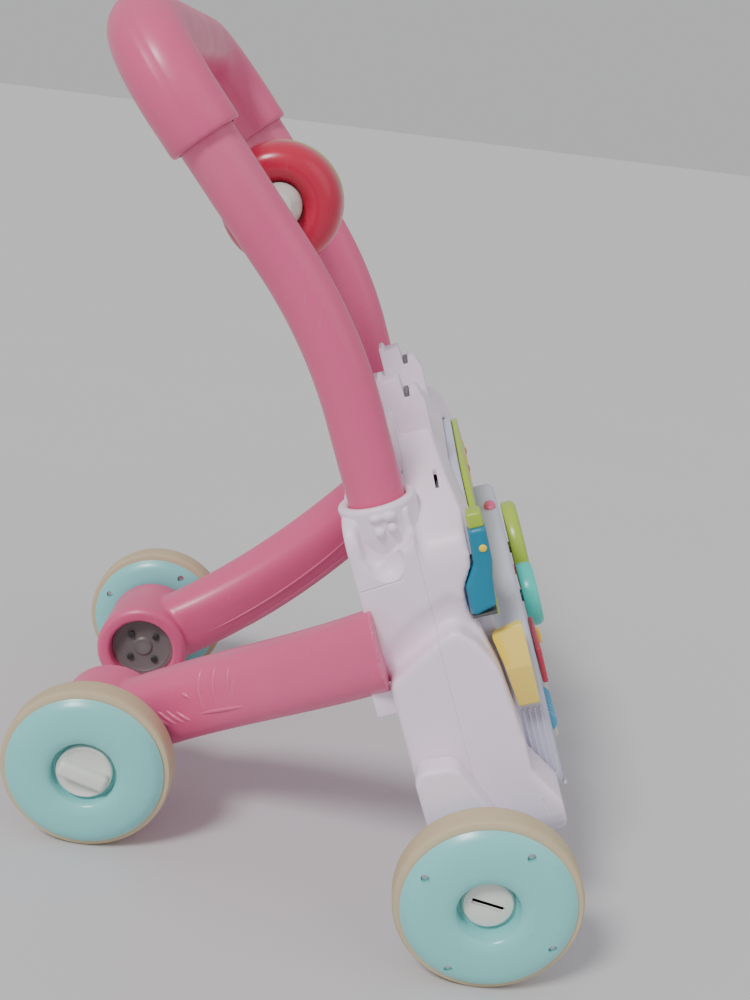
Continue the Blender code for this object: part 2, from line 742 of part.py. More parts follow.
def disc_profile(well_radius, well_floor):
    """Section of a wheel disc as (radius, distance from the wheel's inner plane)."""
    bore = AXLE_RADIUS + AXLE_PLAY
    middle = WHEEL_WIDTH / 2 + GAP / 2
    shoulder = (WHEEL_WIDTH + TYRE_WIDTH) / 2 + GAP
    crown = WHEEL_WIDTH
    skirt = DRUM_RADIUS - GAP
    return [
        (bore, well_floor), (well_radius - 0.001, well_floor), (well_radius, crown - 0.003),
        (well_radius + 0.008, crown), (DISC_RADIUS - 0.006, crown - 0.0015), (DISC_RADIUS, crown - 0.0062),
        (DISC_RADIUS, shoulder), (skirt, shoulder), (skirt, middle), (skirt - 0.0025, middle),
        (skirt - 0.0025, crown - 0.004), (well_radius + 0.0025, crown - 0.005),
        (well_radius + 0.0015, well_floor - FLOOR_WALL), (bore, well_floor - FLOOR_WALL),
    ]


def wheel(place_name, side, y, outer_plane, well_radius, well_floor):
    """A wheel of two moulded discs with a soft tyre between them."""
    place = (0.0, y, WHEEL_RADIUS)
    inner_plane = outer_plane - WHEEL_WIDTH
    outer = disc_profile(well_radius, well_floor)
    inner = disc_profile(AXLE_RADIUS + 0.012, WHEEL_WIDTH - 0.004)
    add(turned_mesh([(r, side * (inner_plane + a)) for r, a in outer], WHEEL_STEPS, "X", place),
        place_name + "_outer_disc", MINT)
    add(turned_mesh([(r, side * (outer_plane - a)) for r, a in inner], WHEEL_STEPS, "X", place),
        place_name + "_inner_disc", MINT)
    edge = TYRE_WIDTH / 2
    middle = inner_plane + WHEEL_WIDTH / 2
    tyre = [(DRUM_RADIUS, -edge), (WHEEL_RADIUS - 0.0015, -edge), (WHEEL_RADIUS, -edge + 0.003),
            (WHEEL_RADIUS, edge - 0.003), (WHEEL_RADIUS - 0.0015, edge), (DRUM_RADIUS, edge)]
    add(turned_mesh([(r, side * (middle + a)) for r, a in tyre], WHEEL_STEPS, "X", place),
        place_name + "_tyre", BEIGE)


def front_wheel_fittings(name, side):
    """The stub axle and the cap sunk in the wheel's well."""
    place = (0.0, -HALF_WHEELBASE, WHEEL_RADIUS)
    floor = FRONT_OUTER - WHEEL_WIDTH + FRONT_WELL_FLOOR
    ends = sorted((side * (BODY_LOW_HALF + GAP), side * floor))
    add(rod_mesh(AXLE_RADIUS, *ends, "X", place), "front_axle_" + name, STEEL)
    cap_ends = sorted((side * (floor + GAP), side * (floor + 0.0045)))
    add(rod_mesh(FRONT_WELL_RADIUS - 0.003, *cap_ends, "X", place, 20), "axle_cap_" + name, IVORY)


def rear_wheel_fittings(name, side):
    """The stub axle and the lock knob with its raised bar."""
    place = (0.0, HALF_WHEELBASE, WHEEL_RADIUS)
    floor = REAR_OUTER - WHEEL_WIDTH + REAR_WELL_FLOOR
    ends = sorted((side * (HUB_INNER + HUB_WELL_DEPTH), side * floor))
    add(rod_mesh(AXLE_RADIUS, *ends, "X", place), "rear_axle_" + name, STEEL)
    dish = sorted((side * (floor + GAP), side * (floor + 0.005)))
    knob = add(rod_mesh(REAR_WELL_RADIUS - 0.003, *dish, "X", place, 20), "lock_knob_" + name, IVORY)
    bar_low, bar_high = sorted((side * (floor + 0.003), side * (floor + 0.0115)))
    bar = box_mesh((bar_low, -0.0155, -0.0042), (bar_high, 0.0155, 0.0042), 0.0015)
    bar.transform(Matrix.Translation(place) @ Matrix.Rotation(math.radians(18), 4, "X"))
    combine(knob, add(bar, "bar"), "UNION")


# Activity panel

def panel_housing():
    base = outline_mesh(rounded(panel_outline()), BOARD_FACE, PANEL_SPLIT)
    made = add(base, "panel_housing", LAVENDER, lean_frame)
    play = outline_mesh(rounded(play_outline()), PANEL_FACE, PANEL_SPLIT - 0.005)
    combine(made, add(play, "play", None, lean_frame), "UNION")
    wide_room = outline_mesh(rounded(panel_outline(-PANEL_WALL)), BOARD_FACE + PANEL_WALL, PANEL_SPLIT + 0.01)
    deep_room = outline_mesh(rounded(play_outline(-PANEL_WALL)), PANEL_FACE + PANEL_WALL, PANEL_SPLIT - 0.004)
    room = add(wide_room, "room", None, lean_frame, cutters)
    combine(room, add(deep_room, "deep_room", None, lean_frame, cutters), "UNION")
    combine(made, room)
    for x in (-BOARD_HALF + 0.006, BOARD_HALF - 0.006):
        for height in (BOARD_LOW + 0.006, BOARD_HIGH - 0.006):
            post = rod_mesh(0.003, PANEL_FACE + 0.001, BOARD_PLACE - GAP, "Y", (x, 0, height))
            combine(made, add(post, "post", None, lean_frame), "UNION")
    half = KEY_PITCH * (KEY_COUNT - 1) / 2 + KEY_WIDTH / 2 + SLIDE_GAP
    cut_box(made, (-half, PANEL_FACE - 0.01, KEY_BOTTOM - SLIDE_GAP),
            (half, PANEL_FACE + 0.01, KEY_BOTTOM + KEY_LENGTH + SLIDE_GAP))
    for place in (GREEN_PLACE, TEAL_PLACE):
        centre = (place[0], 0, place[1])
        hole = rod_mesh(AXLE_RADIUS + SLIDE_GAP, PANEL_FACE - 0.02, PANEL_FACE + 0.008, "Y", centre, 20)
        combine(made, add(hole, "face_hole", None, lean_frame, cutters))
    start, end = BLUE_ROLLER_ENDS
    reach = BLUE_ROLLER_RADIUS + FACE_PLAY
    cut_box(made, (start - FACE_PLAY, PANEL_FACE - 0.01, BLUE_ROLLER_HEIGHT - reach),
            (end + FACE_PLAY, PANEL_FACE + 0.01, BLUE_ROLLER_HEIGHT + reach))
    x, height = SWITCH_PLACE
    cut_box(made, (x - SWITCH_SLOT / 2, PANEL_FACE - 0.01, height - SWITCH_HEIGHT / 2 - SLIDE_GAP),
            (x + SWITCH_SLOT / 2, PANEL_FACE + 0.01, height + SWITCH_HEIGHT / 2 + SLIDE_GAP))
    return made


def panel_back_cover():
    mesh = outline_mesh(rounded(panel_outline()), PANEL_SPLIT + GAP, PANEL_BACK)
    made = add(opened(mesh, 1, PANEL_SPLIT + GAP), "panel_back_cover", WHITE, lean_frame)
    bake(thickened(made, PANEL_WALL))
    half, low, high = BATTERY_DOOR_HALF, BATTERY_DOOR_LOW, BATTERY_DOOR_HIGH
    cut_box(made, (-half, PANEL_BACK - 0.02, low), (half, PANEL_BACK + 0.01, high))
    door = box_mesh((GAP - half, PANEL_BACK - PANEL_WALL, low + GAP), (half - GAP, PANEL_BACK, high - GAP))
    add(door, "battery_door", WHITE, lean_frame)
    return made


def panel_insides():
    """The circuit board, speaker and cells behind the panel's face."""
    board = box_mesh((-BOARD_HALF, BOARD_PLACE, BOARD_LOW), (BOARD_HALF, BOARD_PLACE + 0.0016, BOARD_HIGH))
    add(board, "circuit_board", BOARD, lean_frame)
    cone = [(0.0, 0.0), (SPEAKER_RADIUS * 0.5, 0.0), (SPEAKER_RADIUS * 0.55, -0.006),
            (SPEAKER_RADIUS, -0.010), (SPEAKER_RADIUS, -0.012), (0.0, -0.012)]
    place = (0.100, PANEL_FACE + PANEL_WALL + 0.0123, 0.1440)
    mesh = turned_solid(cone, 20, place)
    add(mesh, "speaker", DARK, lean_frame)
    for index in range(2):
        height = 0.138 + index * 0.024
        rod = rod_mesh(BATTERY_RADIUS, -BATTERY_LENGTH / 2, BATTERY_LENGTH / 2, "X",
                       (0, PANEL_BACK - PANEL_WALL - BATTERY_RADIUS - GAP, height))
        add(rod, "battery_cell_%d" % (index + 1), DARK, lean_frame)


def turned_solid(profile, steps, place):
    """A solid turned about a line along Y: the profile starts and ends on the line."""
    shape = bmesh.new()
    verts = [shape.verts.new((radius, 0.0, along)) for radius, along in profile]
    edges = [shape.edges.new(pair) for pair in zip(verts, verts[1:])]
    bmesh.ops.spin(shape, geom=verts + edges, cent=(0, 0, 0), axis=(0, 0, 1), angle=math.tau,
                   steps=steps, use_merge=True, use_duplicate=False)
    turn = Matrix(((1, 0, 0, 0), (0, 0, 1, 0), (0, 1, 0, 0), (0, 0, 0, 1)))
    bmesh.ops.transform(shape, matrix=Matrix.Translation(place) @ turn, verts=shape.verts)
    bmesh.ops.remove_doubles(shape, verts=shape.verts, dist=1e-6)
    bmesh.ops.recalc_face_normals(shape, faces=shape.faces)
    mesh = bpy.data.meshes.new("turned")
    shape.to_mesh(mesh)
    shape.free()
    mesh.shade_smooth()
    mesh.set_sharp_from_angle(angle=math.radians(35))
    return mesh


def spinning_disc(name, skin, place, radius):
    """A domed disc with its shaft through the panel's face."""
    profile = [(0.0, DISC_FRONT), (radius * 0.62, DISC_FRONT), (radius, DISC_FRONT + 0.003),
               (radius, DISC_BACK), (AXLE_RADIUS, DISC_BACK), (AXLE_RADIUS, PANEL_FACE + 0.007),
               (0.0, PANEL_FACE + 0.007)]
    return add(turned_solid(profile, WHEEL_STEPS, (place[0], 0, place[1])), name, skin, lean_frame)


def piano_keys():
    for index in range(KEY_COUNT):
        x = (index - (KEY_COUNT - 1) / 2) * KEY_PITCH
        low = (x - KEY_WIDTH / 2, KEY_FACE, KEY_BOTTOM)
        high = (x + KEY_WIDTH / 2, KEY_BACK, KEY_BOTTOM + KEY_LENGTH)
        add(box_mesh(low, high, 0.0015), "piano_key_%d" % (index + 1), IVORY, lean_frame)


def top_trim():
    """The coloured plate on the upper part of the panel."""
    mesh = outline_mesh(rounded(panel_outline(-TRIM_INSET)), TRIM_FACE, BOARD_FACE - GAP)
    made = add(mesh, "top_trim", GREEN, lean_frame)
    below = outline_mesh(rounded(play_outline(SLIDE_GAP)), TRIM_FACE - 0.01, BOARD_FACE + 0.01)
    combine(made, add(below, "trim_below", None, lean_frame, cutters))
    return cut_box(made, (-0.2, TRIM_FACE - 0.01, 0.0), (0.2, BOARD_FACE + 0.01, PANEL_STEP_HIGH + 0.006))


def handset():
    """A toy telephone receiver that hangs in the notch at the panel's side."""
    x = -(PANEL_HIGH_HALF + HANDSET_GAP)
    foot = HANDSET_FOOT
    top = foot + HANDSET_HEIGHT
    outline = rounded([
        (-0.0600, foot + 0.004, 0.003), (-0.0455, foot, 0.003), (-0.0460, foot + 0.018, 0.006),
        (-0.0530, foot + 0.030, 0.006), (-0.0540, top, 0.003), (-0.0640, top, 0.003),
        (-0.0635, foot + 0.030, 0.005), (-0.0615, foot + 0.020, 0.006),
    ])
    return add(outline_mesh(outline, x - HANDSET_WIDTH, x, "side"), "handset", BLUE, lean_frame)


def panel_latch():
    """The ridged latch block that holds the panel at the walker's right side."""
    inner = PANEL_LOW_HALF + SLIDE_GAP + 0.0004
    outer = inner + LATCH_WIDTH
    step = PANEL_HIGH_HALF + 0.001
    corners = [(-inner, LATCH_LOW, 0.0), (-inner, PANEL_STEP_LOW, 0.0), (-step, PANEL_STEP_HIGH - 0.004, 0.0),
               (-step, LATCH_HIGH, 0.0), (-outer + 0.004, LATCH_HIGH, 0.003), (-outer, LATCH_RIDGE, 0.002),
               (-outer + 0.005, LATCH_LOW, 0.003)]
    return add(outline_mesh(rounded(corners), LATCH_FRONT, LATCH_BACK), "panel_latch", YELLOW, lean_frame)


def face_pieces():
    """Door, roller and switch on the panel's face."""
    x, height = DOOR_PLACE
    low = (x - DOOR_WIDTH / 2, PANEL_FACE - 0.0045, height - DOOR_HEIGHT / 2)
    high = (x + DOOR_WIDTH / 2, PANEL_FACE - 0.0010, height + DOOR_HEIGHT / 2)
    add(box_mesh(low, high, 0.001), "peek_door", RED, lean_frame)
    start, end = BLUE_ROLLER_ENDS
    place = (0, PANEL_FACE + 0.003, BLUE_ROLLER_HEIGHT)
    add(rod_mesh(BLUE_ROLLER_RADIUS, start, end, "X", place, 16), "blue_roller", SKY, lean_frame)
    x, height = SWITCH_PLACE
    low = (x - SWITCH_SLOT / 2 + FACE_PLAY, PANEL_FACE - 0.004, height - SWITCH_HEIGHT / 2)
    high = (low[0] + SWITCH_WIDTH, PANEL_FACE + 0.005, height + SWITCH_HEIGHT / 2)
    slider = box_mesh(low, high, 0.0006)
    add(slider, "power_switch", RED, lean_frame)


def build():
    rear_shell()
    front_shell()
    for name, side in sides():
        wheel_strut(name, side)
        handle_arm(name, side)
        rear_leg(name, side)
        wheel("front_wheel_" + name, side, -HALF_WHEELBASE, FRONT_OUTER, FRONT_WELL_RADIUS, FRONT_WELL_FLOOR)
        wheel("rear_wheel_" + name, side, HALF_WHEELBASE, REAR_OUTER, REAR_WELL_RADIUS, REAR_WELL_FLOOR)
        front_wheel_fittings(name, side)
        rear_wheel_fittings(name, side)
    handle_grip()
    roller()
    panel_latch()
    panel_housing()
    panel_back_cover()
    panel_insides()
    spinning_disc("green_disc", GREEN, GREEN_PLACE, GREEN_RADIUS)
    spinning_disc("teal_disc", TEAL, TEAL_PLACE, TEAL_RADIUS)
    piano_keys()
    top_trim()
    handset()
    face_pieces()


build()
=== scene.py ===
import math

import bmesh
import bpy
from mathutils import Matrix, Vector


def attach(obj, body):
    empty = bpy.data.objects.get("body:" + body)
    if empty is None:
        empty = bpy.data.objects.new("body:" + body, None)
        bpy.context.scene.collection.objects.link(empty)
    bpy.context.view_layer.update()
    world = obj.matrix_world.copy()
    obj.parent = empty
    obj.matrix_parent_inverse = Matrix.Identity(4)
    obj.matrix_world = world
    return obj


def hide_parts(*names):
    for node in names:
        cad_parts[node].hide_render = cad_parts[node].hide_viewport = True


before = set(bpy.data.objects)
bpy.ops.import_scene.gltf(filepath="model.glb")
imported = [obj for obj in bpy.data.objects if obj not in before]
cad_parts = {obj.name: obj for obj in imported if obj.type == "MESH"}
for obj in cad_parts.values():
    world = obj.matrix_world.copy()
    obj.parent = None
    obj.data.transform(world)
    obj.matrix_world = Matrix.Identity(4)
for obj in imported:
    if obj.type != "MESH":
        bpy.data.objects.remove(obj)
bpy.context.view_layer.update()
scene = bpy.context.scene
print("frame loaded")

sides = (("left", 1), ("right", -1))  # as seen by the child who pushes the walker
leanAngle = math.radians(21)
axleReach = 0.1195  # from the middle of the walker to either axle
wheelRadius = 0.052
axleBore = 0.0045
rearAxle = (0, axleReach, wheelRadius)
leaning = Matrix.Translation((0, -axleReach, 0)) @ Matrix.Rotation(-leanAngle, 4, "X")
hairline = 0.0003


# finishes

def mouldedPlastic(name, settings):
    made = bpy.data.materials.new(name)
    made.use_nodes = True
    tree = made.node_tree
    shader = tree.nodes["Principled BSDF"]
    shader.inputs["IOR"].default_value = 1.5
    shader.inputs["Coat Weight"].default_value = settings.get("coat", 0.0)
    shader.inputs["Coat Roughness"].default_value = 0.18
    shader.inputs["Metallic"].default_value = settings.get("metal", 0.0)
    coordinate = tree.nodes.new("ShaderNodeTexCoord")
    mapping = tree.nodes.new("ShaderNodeMapping")
    tree.links.new(coordinate.outputs["Object"], mapping.inputs["Vector"])

    def cloud(scale, detail, stretch=None):
        source = mapping
        if stretch:
            source = tree.nodes.new("ShaderNodeMapping")
            source.inputs["Scale"].default_value = stretch
            tree.links.new(mapping.outputs["Vector"], source.inputs["Vector"])
        texture = tree.nodes.new("ShaderNodeTexNoise")
        texture.inputs["Scale"].default_value = scale
        texture.inputs["Detail"].default_value = detail
        tree.links.new(source.outputs["Vector"], texture.inputs["Vector"])
        return texture.outputs["Fac"]

    def spread(value, low, high, fromLow=0.3, fromHigh=0.7):
        ranged = tree.nodes.new("ShaderNodeMapRange")
        ranged.inputs["From Min"].default_value = fromLow
        ranged.inputs["From Max"].default_value = fromHigh
        ranged.inputs["To Min"].default_value = low
        ranged.inputs["To Max"].default_value = high
        tree.links.new(value, ranged.inputs["Value"])
        return ranged.outputs["Result"]

    def blend(amount, first, second):
        mixed = tree.nodes.new("ShaderNodeMix")
        mixed.data_type = "RGBA"
        tree.links.new(amount, mixed.inputs["Factor"])
        for socket, value in (("A", first), ("B", second)):
            target = [s for s in mixed.inputs if s.name == socket and s.type == "RGBA"][0]
            if isinstance(value, bpy.types.NodeSocket):
                tree.links.new(value, target)
            else:
                target.default_value = (*value, 1)
        return [s for s in mixed.outputs if s.type == "RGBA"][0]

    colour = settings["colour"]
    deep = tuple(c * settings.get("deep", 0.88) for c in colour)
    pale = tuple(min(1, c * 0.6 + 0.36) for c in colour)
    tint = blend(spread(cloud(9, 3), 0, 1), colour, deep)  # slow drift of the pigment
    geometry = tree.nodes.new("ShaderNodeNewGeometry")
    worn = spread(geometry.outputs["Pointiness"], 0, settings.get("wear", 0.35), 0.53, 0.62)
    tint = blend(worn, tint, pale)  # rubbed edges
    scuffs = spread(cloud(420, 2, (1, 1, 0.08)), 0, settings.get("scuff", 0.10), 0.66, 0.76)
    tint = blend(scuffs, tint, pale)
    tree.links.new(tint, shader.inputs["Base Color"])
    gloss = settings.get("roughness", 0.35)
    rough = spread(cloud(34, 5), gloss * 0.82, gloss * 1.22)
    tree.links.new(rough, shader.inputs["Roughness"])
    bump = tree.nodes.new("ShaderNodeBump")
    bump.inputs["Strength"].default_value = settings.get("grain", 0.05)
    bump.inputs["Distance"].default_value = 0.0006
    tree.links.new(cloud(settings.get("grainScale", 900), 3), bump.inputs["Height"])
    tree.links.new(bump.outputs["Normal"], shader.inputs["Normal"])
    if settings.get("glow"):
        shader.inputs["Subsurface Weight"].default_value = settings["glow"]
        shader.inputs["Subsurface Radius"].default_value = (0.004, 0.003, 0.003)
        shader.inputs["Subsurface Scale"].default_value = 0.5
    return made


finishes = {
    "pink_plastic": {"colour": (0.75, 0.105, 0.25), "roughness": 0.36, "coat": 0.12, "deep": 0.93},
    "white_plastic": {"colour": (0.93, 0.79, 0.92), "roughness": 0.40, "coat": 0.08, "deep": 0.96},
    "lavender_plastic": {"colour": (0.60, 0.60, 0.74), "roughness": 0.42, "deep": 0.94},
    "mint_plastic": {"colour": (0.24, 0.66, 0.645), "roughness": 0.30, "coat": 0.2, "deep": 0.95},
    "beige_tyre": {"colour": (0.60, 0.49, 0.31), "roughness": 0.72, "grain": 0.25, "grainScale": 600},
    "ivory_plastic": {"colour": (0.76, 0.77, 0.71), "roughness": 0.42, "deep": 0.95},
    "steel": {"colour": (0.55, 0.55, 0.56), "roughness": 0.32, "metal": 1.0, "grain": 0.1},
    "red_plastic": {"colour": (0.60, 0.014, 0.060), "roughness": 0.28, "coat": 0.2},
    "green_plastic": {"colour": (0.42, 0.60, 0.035), "roughness": 0.34, "coat": 0.15},
    "teal_plastic": {"colour": (0.04, 0.64, 0.52), "roughness": 0.34, "coat": 0.15},
    "blue_plastic": {"colour": (0.0, 0.235, 0.38), "roughness": 0.38, "coat": 0.05},
    "sky_plastic": {"colour": (0.06, 0.40, 0.68), "roughness": 0.34, "coat": 0.15},
    "yellow_plastic": {"colour": (0.98, 0.70, 0.025), "roughness": 0.42, "coat": 0.05},
    "board": {"colour": (0.03, 0.20, 0.07), "roughness": 0.55, "grain": 0.1},
    # dark finish; also serves as painted shade in the body's gaps and the axle caps' slots
    "dark_plastic": {"colour": (0.035, 0.035, 0.04), "roughness": 0.5, "deep": 0.7},
    "grey_plastic": {"colour": (0.17, 0.145, 0.145), "roughness": 0.45},
}
looks = {name: mouldedPlastic(name + "_look", settings) for name, settings in finishes.items()}
print("finishes mixed")


# modelling helpers

def roundCorners(corners, steps=6):
    points = []
    for index, (a, b, radius) in enumerate(corners):
        here = Vector((a, b))
        before = (Vector(corners[index - 1][:2]) - here).normalized()
        after = (Vector(corners[(index + 1) % len(corners)][:2]) - here).normalized()
        if not radius:
            points.append(here)
            continue
        half = before.angle(after) / 2
        start = here + before * (radius / math.tan(half))
        end = here + after * (radius / math.tan(half))
        middle = here + (before + after).normalized() * (radius / math.sin(half))
        turn = (start - middle).angle_signed(end - middle)
        for step in range(steps + 1):
            arm = start - middle
            arm.rotate(Matrix.Rotation(-turn * step / steps, 2))
            points.append(middle + arm)
    return points


def bothSides(half):
    return list(half) + [(-a, b, radius) for a, b, radius in reversed(half)]


def prism(corners, low, high, facing="front", steps=6):
    bm = bmesh.new()
    place = (lambda a, b: (a, low, b)) if facing == "front" else (lambda a, b: (low, a, b))
    face = bm.faces.new([bm.verts.new(place(*point)) for point in roundCorners(corners, steps)])
    pushed = bmesh.ops.extrude_face_region(bm, geom=[face], use_keep_orig=True)["geom"]
    along = (0, high - low, 0) if facing == "front" else (high - low, 0, 0)
    bmesh.ops.translate(bm, vec=along, verts=[g for g in pushed if isinstance(g, bmesh.types.BMVert)])
    bmesh.ops.recalc_face_normals(bm, faces=bm.faces)
    return bm


def soften(bm, width, segments=3, angle=35):
    sharp = [e for e in bm.edges if e.is_manifold and e.calc_face_angle(0) > math.radians(angle)]
    bmesh.ops.bevel(bm, geom=sharp, offset=width, offset_type="OFFSET", segments=segments, profile=0.5,
                    affect="EDGES", material=-1, clamp_overlap=True)
    return bm


def block(low, high, width=0.0, segments=3):
    bm = bmesh.new()
    bmesh.ops.create_cube(bm, size=1)
    bmesh.ops.scale(bm, vec=Vector(high) - Vector(low), verts=bm.verts)
    bmesh.ops.translate(bm, vec=(Vector(high) + Vector(low)) / 2, verts=bm.verts)
    return soften(bm, width, segments) if width else bm


def sideBlock(side, near, far, low, high, width=0.0, segments=3):
    ends = sorted((side * near, side * far))
    return block((ends[0], *low), (ends[1], *high), width, segments)


def turned(profile, steps, axis, place, closed=True):
    bm = bmesh.new()
    verts = [bm.verts.new((radius, 0, along)) for radius, along in profile]
    pairs = list(zip(verts, verts[1:])) + ([(verts[-1], verts[0])] if closed else [])
    edges = [bm.edges.new(pair) for pair in pairs]
    bmesh.ops.spin(bm, geom=verts + edges, cent=(0, 0, 0), axis=(0, 0, 1), angle=math.tau,
                   steps=steps, use_merge=True, use_duplicate=False)
    turn = {"X": Matrix(((0, 0, 1, 0), (0, 1, 0, 0), (1, 0, 0, 0), (0, 0, 0, 1))),
            "Y": Matrix(((1, 0, 0, 0), (0, 0, 1, 0), (0, 1, 0, 0), (0, 0, 0, 1))),
            "Z": Matrix.Identity(4)}[axis]
    bmesh.ops.transform(bm, matrix=Matrix.Translation(place) @ turn, verts=bm.verts)
    bmesh.ops.remove_doubles(bm, verts=bm.verts, dist=1e-6)
    bmesh.ops.recalc_face_normals(bm, faces=bm.faces)
    return bm


def rod(radius, start, end, steps=32, width=0.0):
    start, end = Vector(start), Vector(end)
    bm = bmesh.new()
    bmesh.ops.create_cone(bm, cap_ends=True, segments=steps, radius1=radius, radius2=radius,
                          depth=(end - start).length)
    if width:
        soften(bm, width, 3)
    turn = (end - start).to_track_quat("Z", "Y").to_matrix().to_4x4()
    bmesh.ops.transform(bm, matrix=Matrix.Translation((start + end) / 2) @ turn, verts=bm.verts)
    return bm


def ball(place, size, detail=24):
    bm = bmesh.new()
    bmesh.ops.create_uvsphere(bm, u_segments=detail, v_segments=detail // 2, radius=1)
    bmesh.ops.scale(bm, vec=size, verts=bm.verts)
    bmesh.ops.translate(bm, vec=place, verts=bm.verts)
    return bm


def roundSection(radius):
    return lambda index, angle: (radius * math.cos(angle), radius * math.sin(angle))


def acrossX(ahead):
    return Vector((1, 0, 0))


def sweep(path, sectionAt, across, segments=64, capped=True):
    bm = bmesh.new()
    loops = []
    for index, here in enumerate(path):
        ahead = (path[min(index + 1, len(path) - 1)] - path[max(index - 1, 0)]).normalized()
        side = across(ahead).normalized()
        up = side.cross(ahead).normalized()
        ring = bmesh.ops.create_circle(bm, segments=segments, radius=1)["verts"]
        for vert in ring:
            a, b = sectionAt(index, math.atan2(vert.co.y, vert.co.x))
            vert.co = here + side * a + up * b
        loops.append(list({edge for vert in ring for edge in vert.link_edges}))
    for first, second in zip(loops, loops[1:]):
        bmesh.ops.bridge_loops(bm, edges=first + second)
    if capped:
        for loop in (loops[0], loops[-1]):
            bmesh.ops.contextual_create(bm, geom=loop)
    bmesh.ops.recalc_face_normals(bm, faces=bm.faces)
    return bm


def join(pieces):
    whole = bmesh.new()
    for bm in pieces:
        mesh = bpy.data.meshes.new("joined")
        bm.to_mesh(mesh)
        bm.free()
        whole.from_mesh(mesh)
        bpy.data.meshes.remove(mesh)
    return whole


def asObject(bm, name="tool"):
    mesh = bpy.data.meshes.new(name)
    bm.to_mesh(mesh)
    bm.free()
    made = bpy.data.objects.new(name, mesh)
    scene.collection.objects.link(made)
    return made


def applied(made):
    graph = bpy.context.evaluated_depsgraph_get()
    mesh = bpy.data.meshes.new_from_object(made.evaluated_get(graph))
    made.modifiers.clear()
    made.data = mesh
    return made


def asShape(made):
    bm = bmesh.new()
    bm.from_mesh(made.data)
    bpy.data.objects.remove(made)
    return bm


def carve(made, bm, operation="DIFFERENCE"):
    tool = asObject(bm)
    change = made.modifiers.new("carve", "BOOLEAN")
    change.operation = operation
    change.solver = "EXACT"
    change.use_self = True
    change.object = tool
    applied(made)
    bpy.data.objects.remove(tool)
    return made


def mirrored(made):
    made.data.transform(Matrix.Scale(-1, 4, (1, 0, 0)))
    made.data.flip_normals()


def mould(made, voxel, rounds=4):
    cast = made.modifiers.new("cast", "REMESH")
    cast.mode = "VOXEL"
    cast.voxel_size = voxel
    cast.adaptivity = 0
    smooth = made.modifiers.new("smooth", "SMOOTH")
    smooth.factor = 0.5
    smooth.iterations = rounds
    return applied(made)


def piece(name, source, look, body, nodes=(), place=None, crease=38):
    if isinstance(source, bmesh.types.BMesh):
        made = asObject(source, name)
    else:
        made = source
        made.name = name
    if place:
        made.data.transform(place)
    made.data.name = name
    made.data.materials.clear()
    made.data.materials.append(look)
    made.data.shade_smooth()
    made.data.set_sharp_from_angle(angle=math.radians(crease))
    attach(made, body)
    if nodes:
        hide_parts(*nodes)
    return made


# body shells, drawn in the leaning frame: x across, y into the body, z up along the lean

body = {"lowHalf": 0.178, "highHalf": 0.165, "bottom": 0.046, "back": 0.012, "seam": -0.025, "rim": -0.058,
        "sideTop": 0.258, "neckHalf": 0.070, "neckTop": 0.290, "wall": 0.003, "voxel": 0.0018,
        "slope": math.radians(17), "slopeStart": 0.229, "lipFace": -0.0705, "ribHalf": 0.110,
        "lowBack": 0.007}
armX, armDepth = 0.138, -0.009
postX = 0.052


def lowerShape(inset=0.0):
    front = bothSides([(body["lowHalf"] - inset, body["bottom"] + inset, 0.028 - inset),
                       (body["lowHalf"] - inset, 0.30, 0)])
    crest = [(body["rim"] + inset, body["bottom"] - 0.01, 0),
             (body["lowBack"] - inset, body["bottom"] - 0.01, 0),
             (body["lowBack"] - inset, 0.1665 - inset, 0.006), (-0.004, 0.1735 - inset, 0.012),
             (-0.0211, 0.1835 - inset, 0.020), (-0.0354, 0.1905 - inset, 0.006),
             (-0.0456, 0.1790 - inset, 0.010), (body["rim"] + inset, 0.152 - inset, 0.010)]
    made = asObject(prism(front, body["rim"] + inset, body["back"] - inset))
    return carve(made, prism(crest, -0.2, 0.2, "side"), "INTERSECT")


def rearTop(inset=0.0):
    outline = bothSides([(body["highHalf"] - inset, 0.160, 0),
                         (body["highHalf"] - inset, body["sideTop"] - inset, 0.016),
                         (0.094, body["sideTop"] - inset, 0.010),
                         (body["neckHalf"] - inset, body["neckTop"] - inset, 0.008)])
    return prism(outline, body["seam"] + inset - 0.001, body["back"] - inset)


def frontTop(inset=0.0):
    outline = bothSides([(body["highHalf"] - inset, 0.10, 0),
                         (body["highHalf"] - inset, 0.235 - inset, 0.025 - inset),
                         (0.120, 0.260 - inset, 0.050), (0.050, 0.2775 - inset, 0.060)])
    made = asObject(prism(outline, body["rim"] + inset, body["seam"] + 0.001))
    slope = block((-0.2, -0.1, 0), (0.2, 0, 0.1))
    slope.transform(Matrix.Translation((0, body["rim"] + inset, body["slopeStart"]))
                    @ Matrix.Rotation(-body["slope"], 4, "X"))
    return asShape(carve(made, slope))


def panelCorners(grow=0.0):
    return bothSides([(0.143 + grow, 0.058 - grow, 0.016 + grow), (0.143 + grow, 0.160, 0.012),
                      (0.150 + grow, 0.176, 0.012), (0.150 + grow, 0.201 + grow, 0.024 + grow),
                      (0.070, 0.248 + grow, 0.070 + grow)])


def playCorners(grow=0.0):
    inset = grow - 0.0006
    return bothSides([(0.143 + inset, 0.058 - inset, 0.016 + inset),
                      (0.143 + inset, 0.170 + inset, 0.020 + inset), (0.050, 0.197 + inset, 0.080 + inset)])


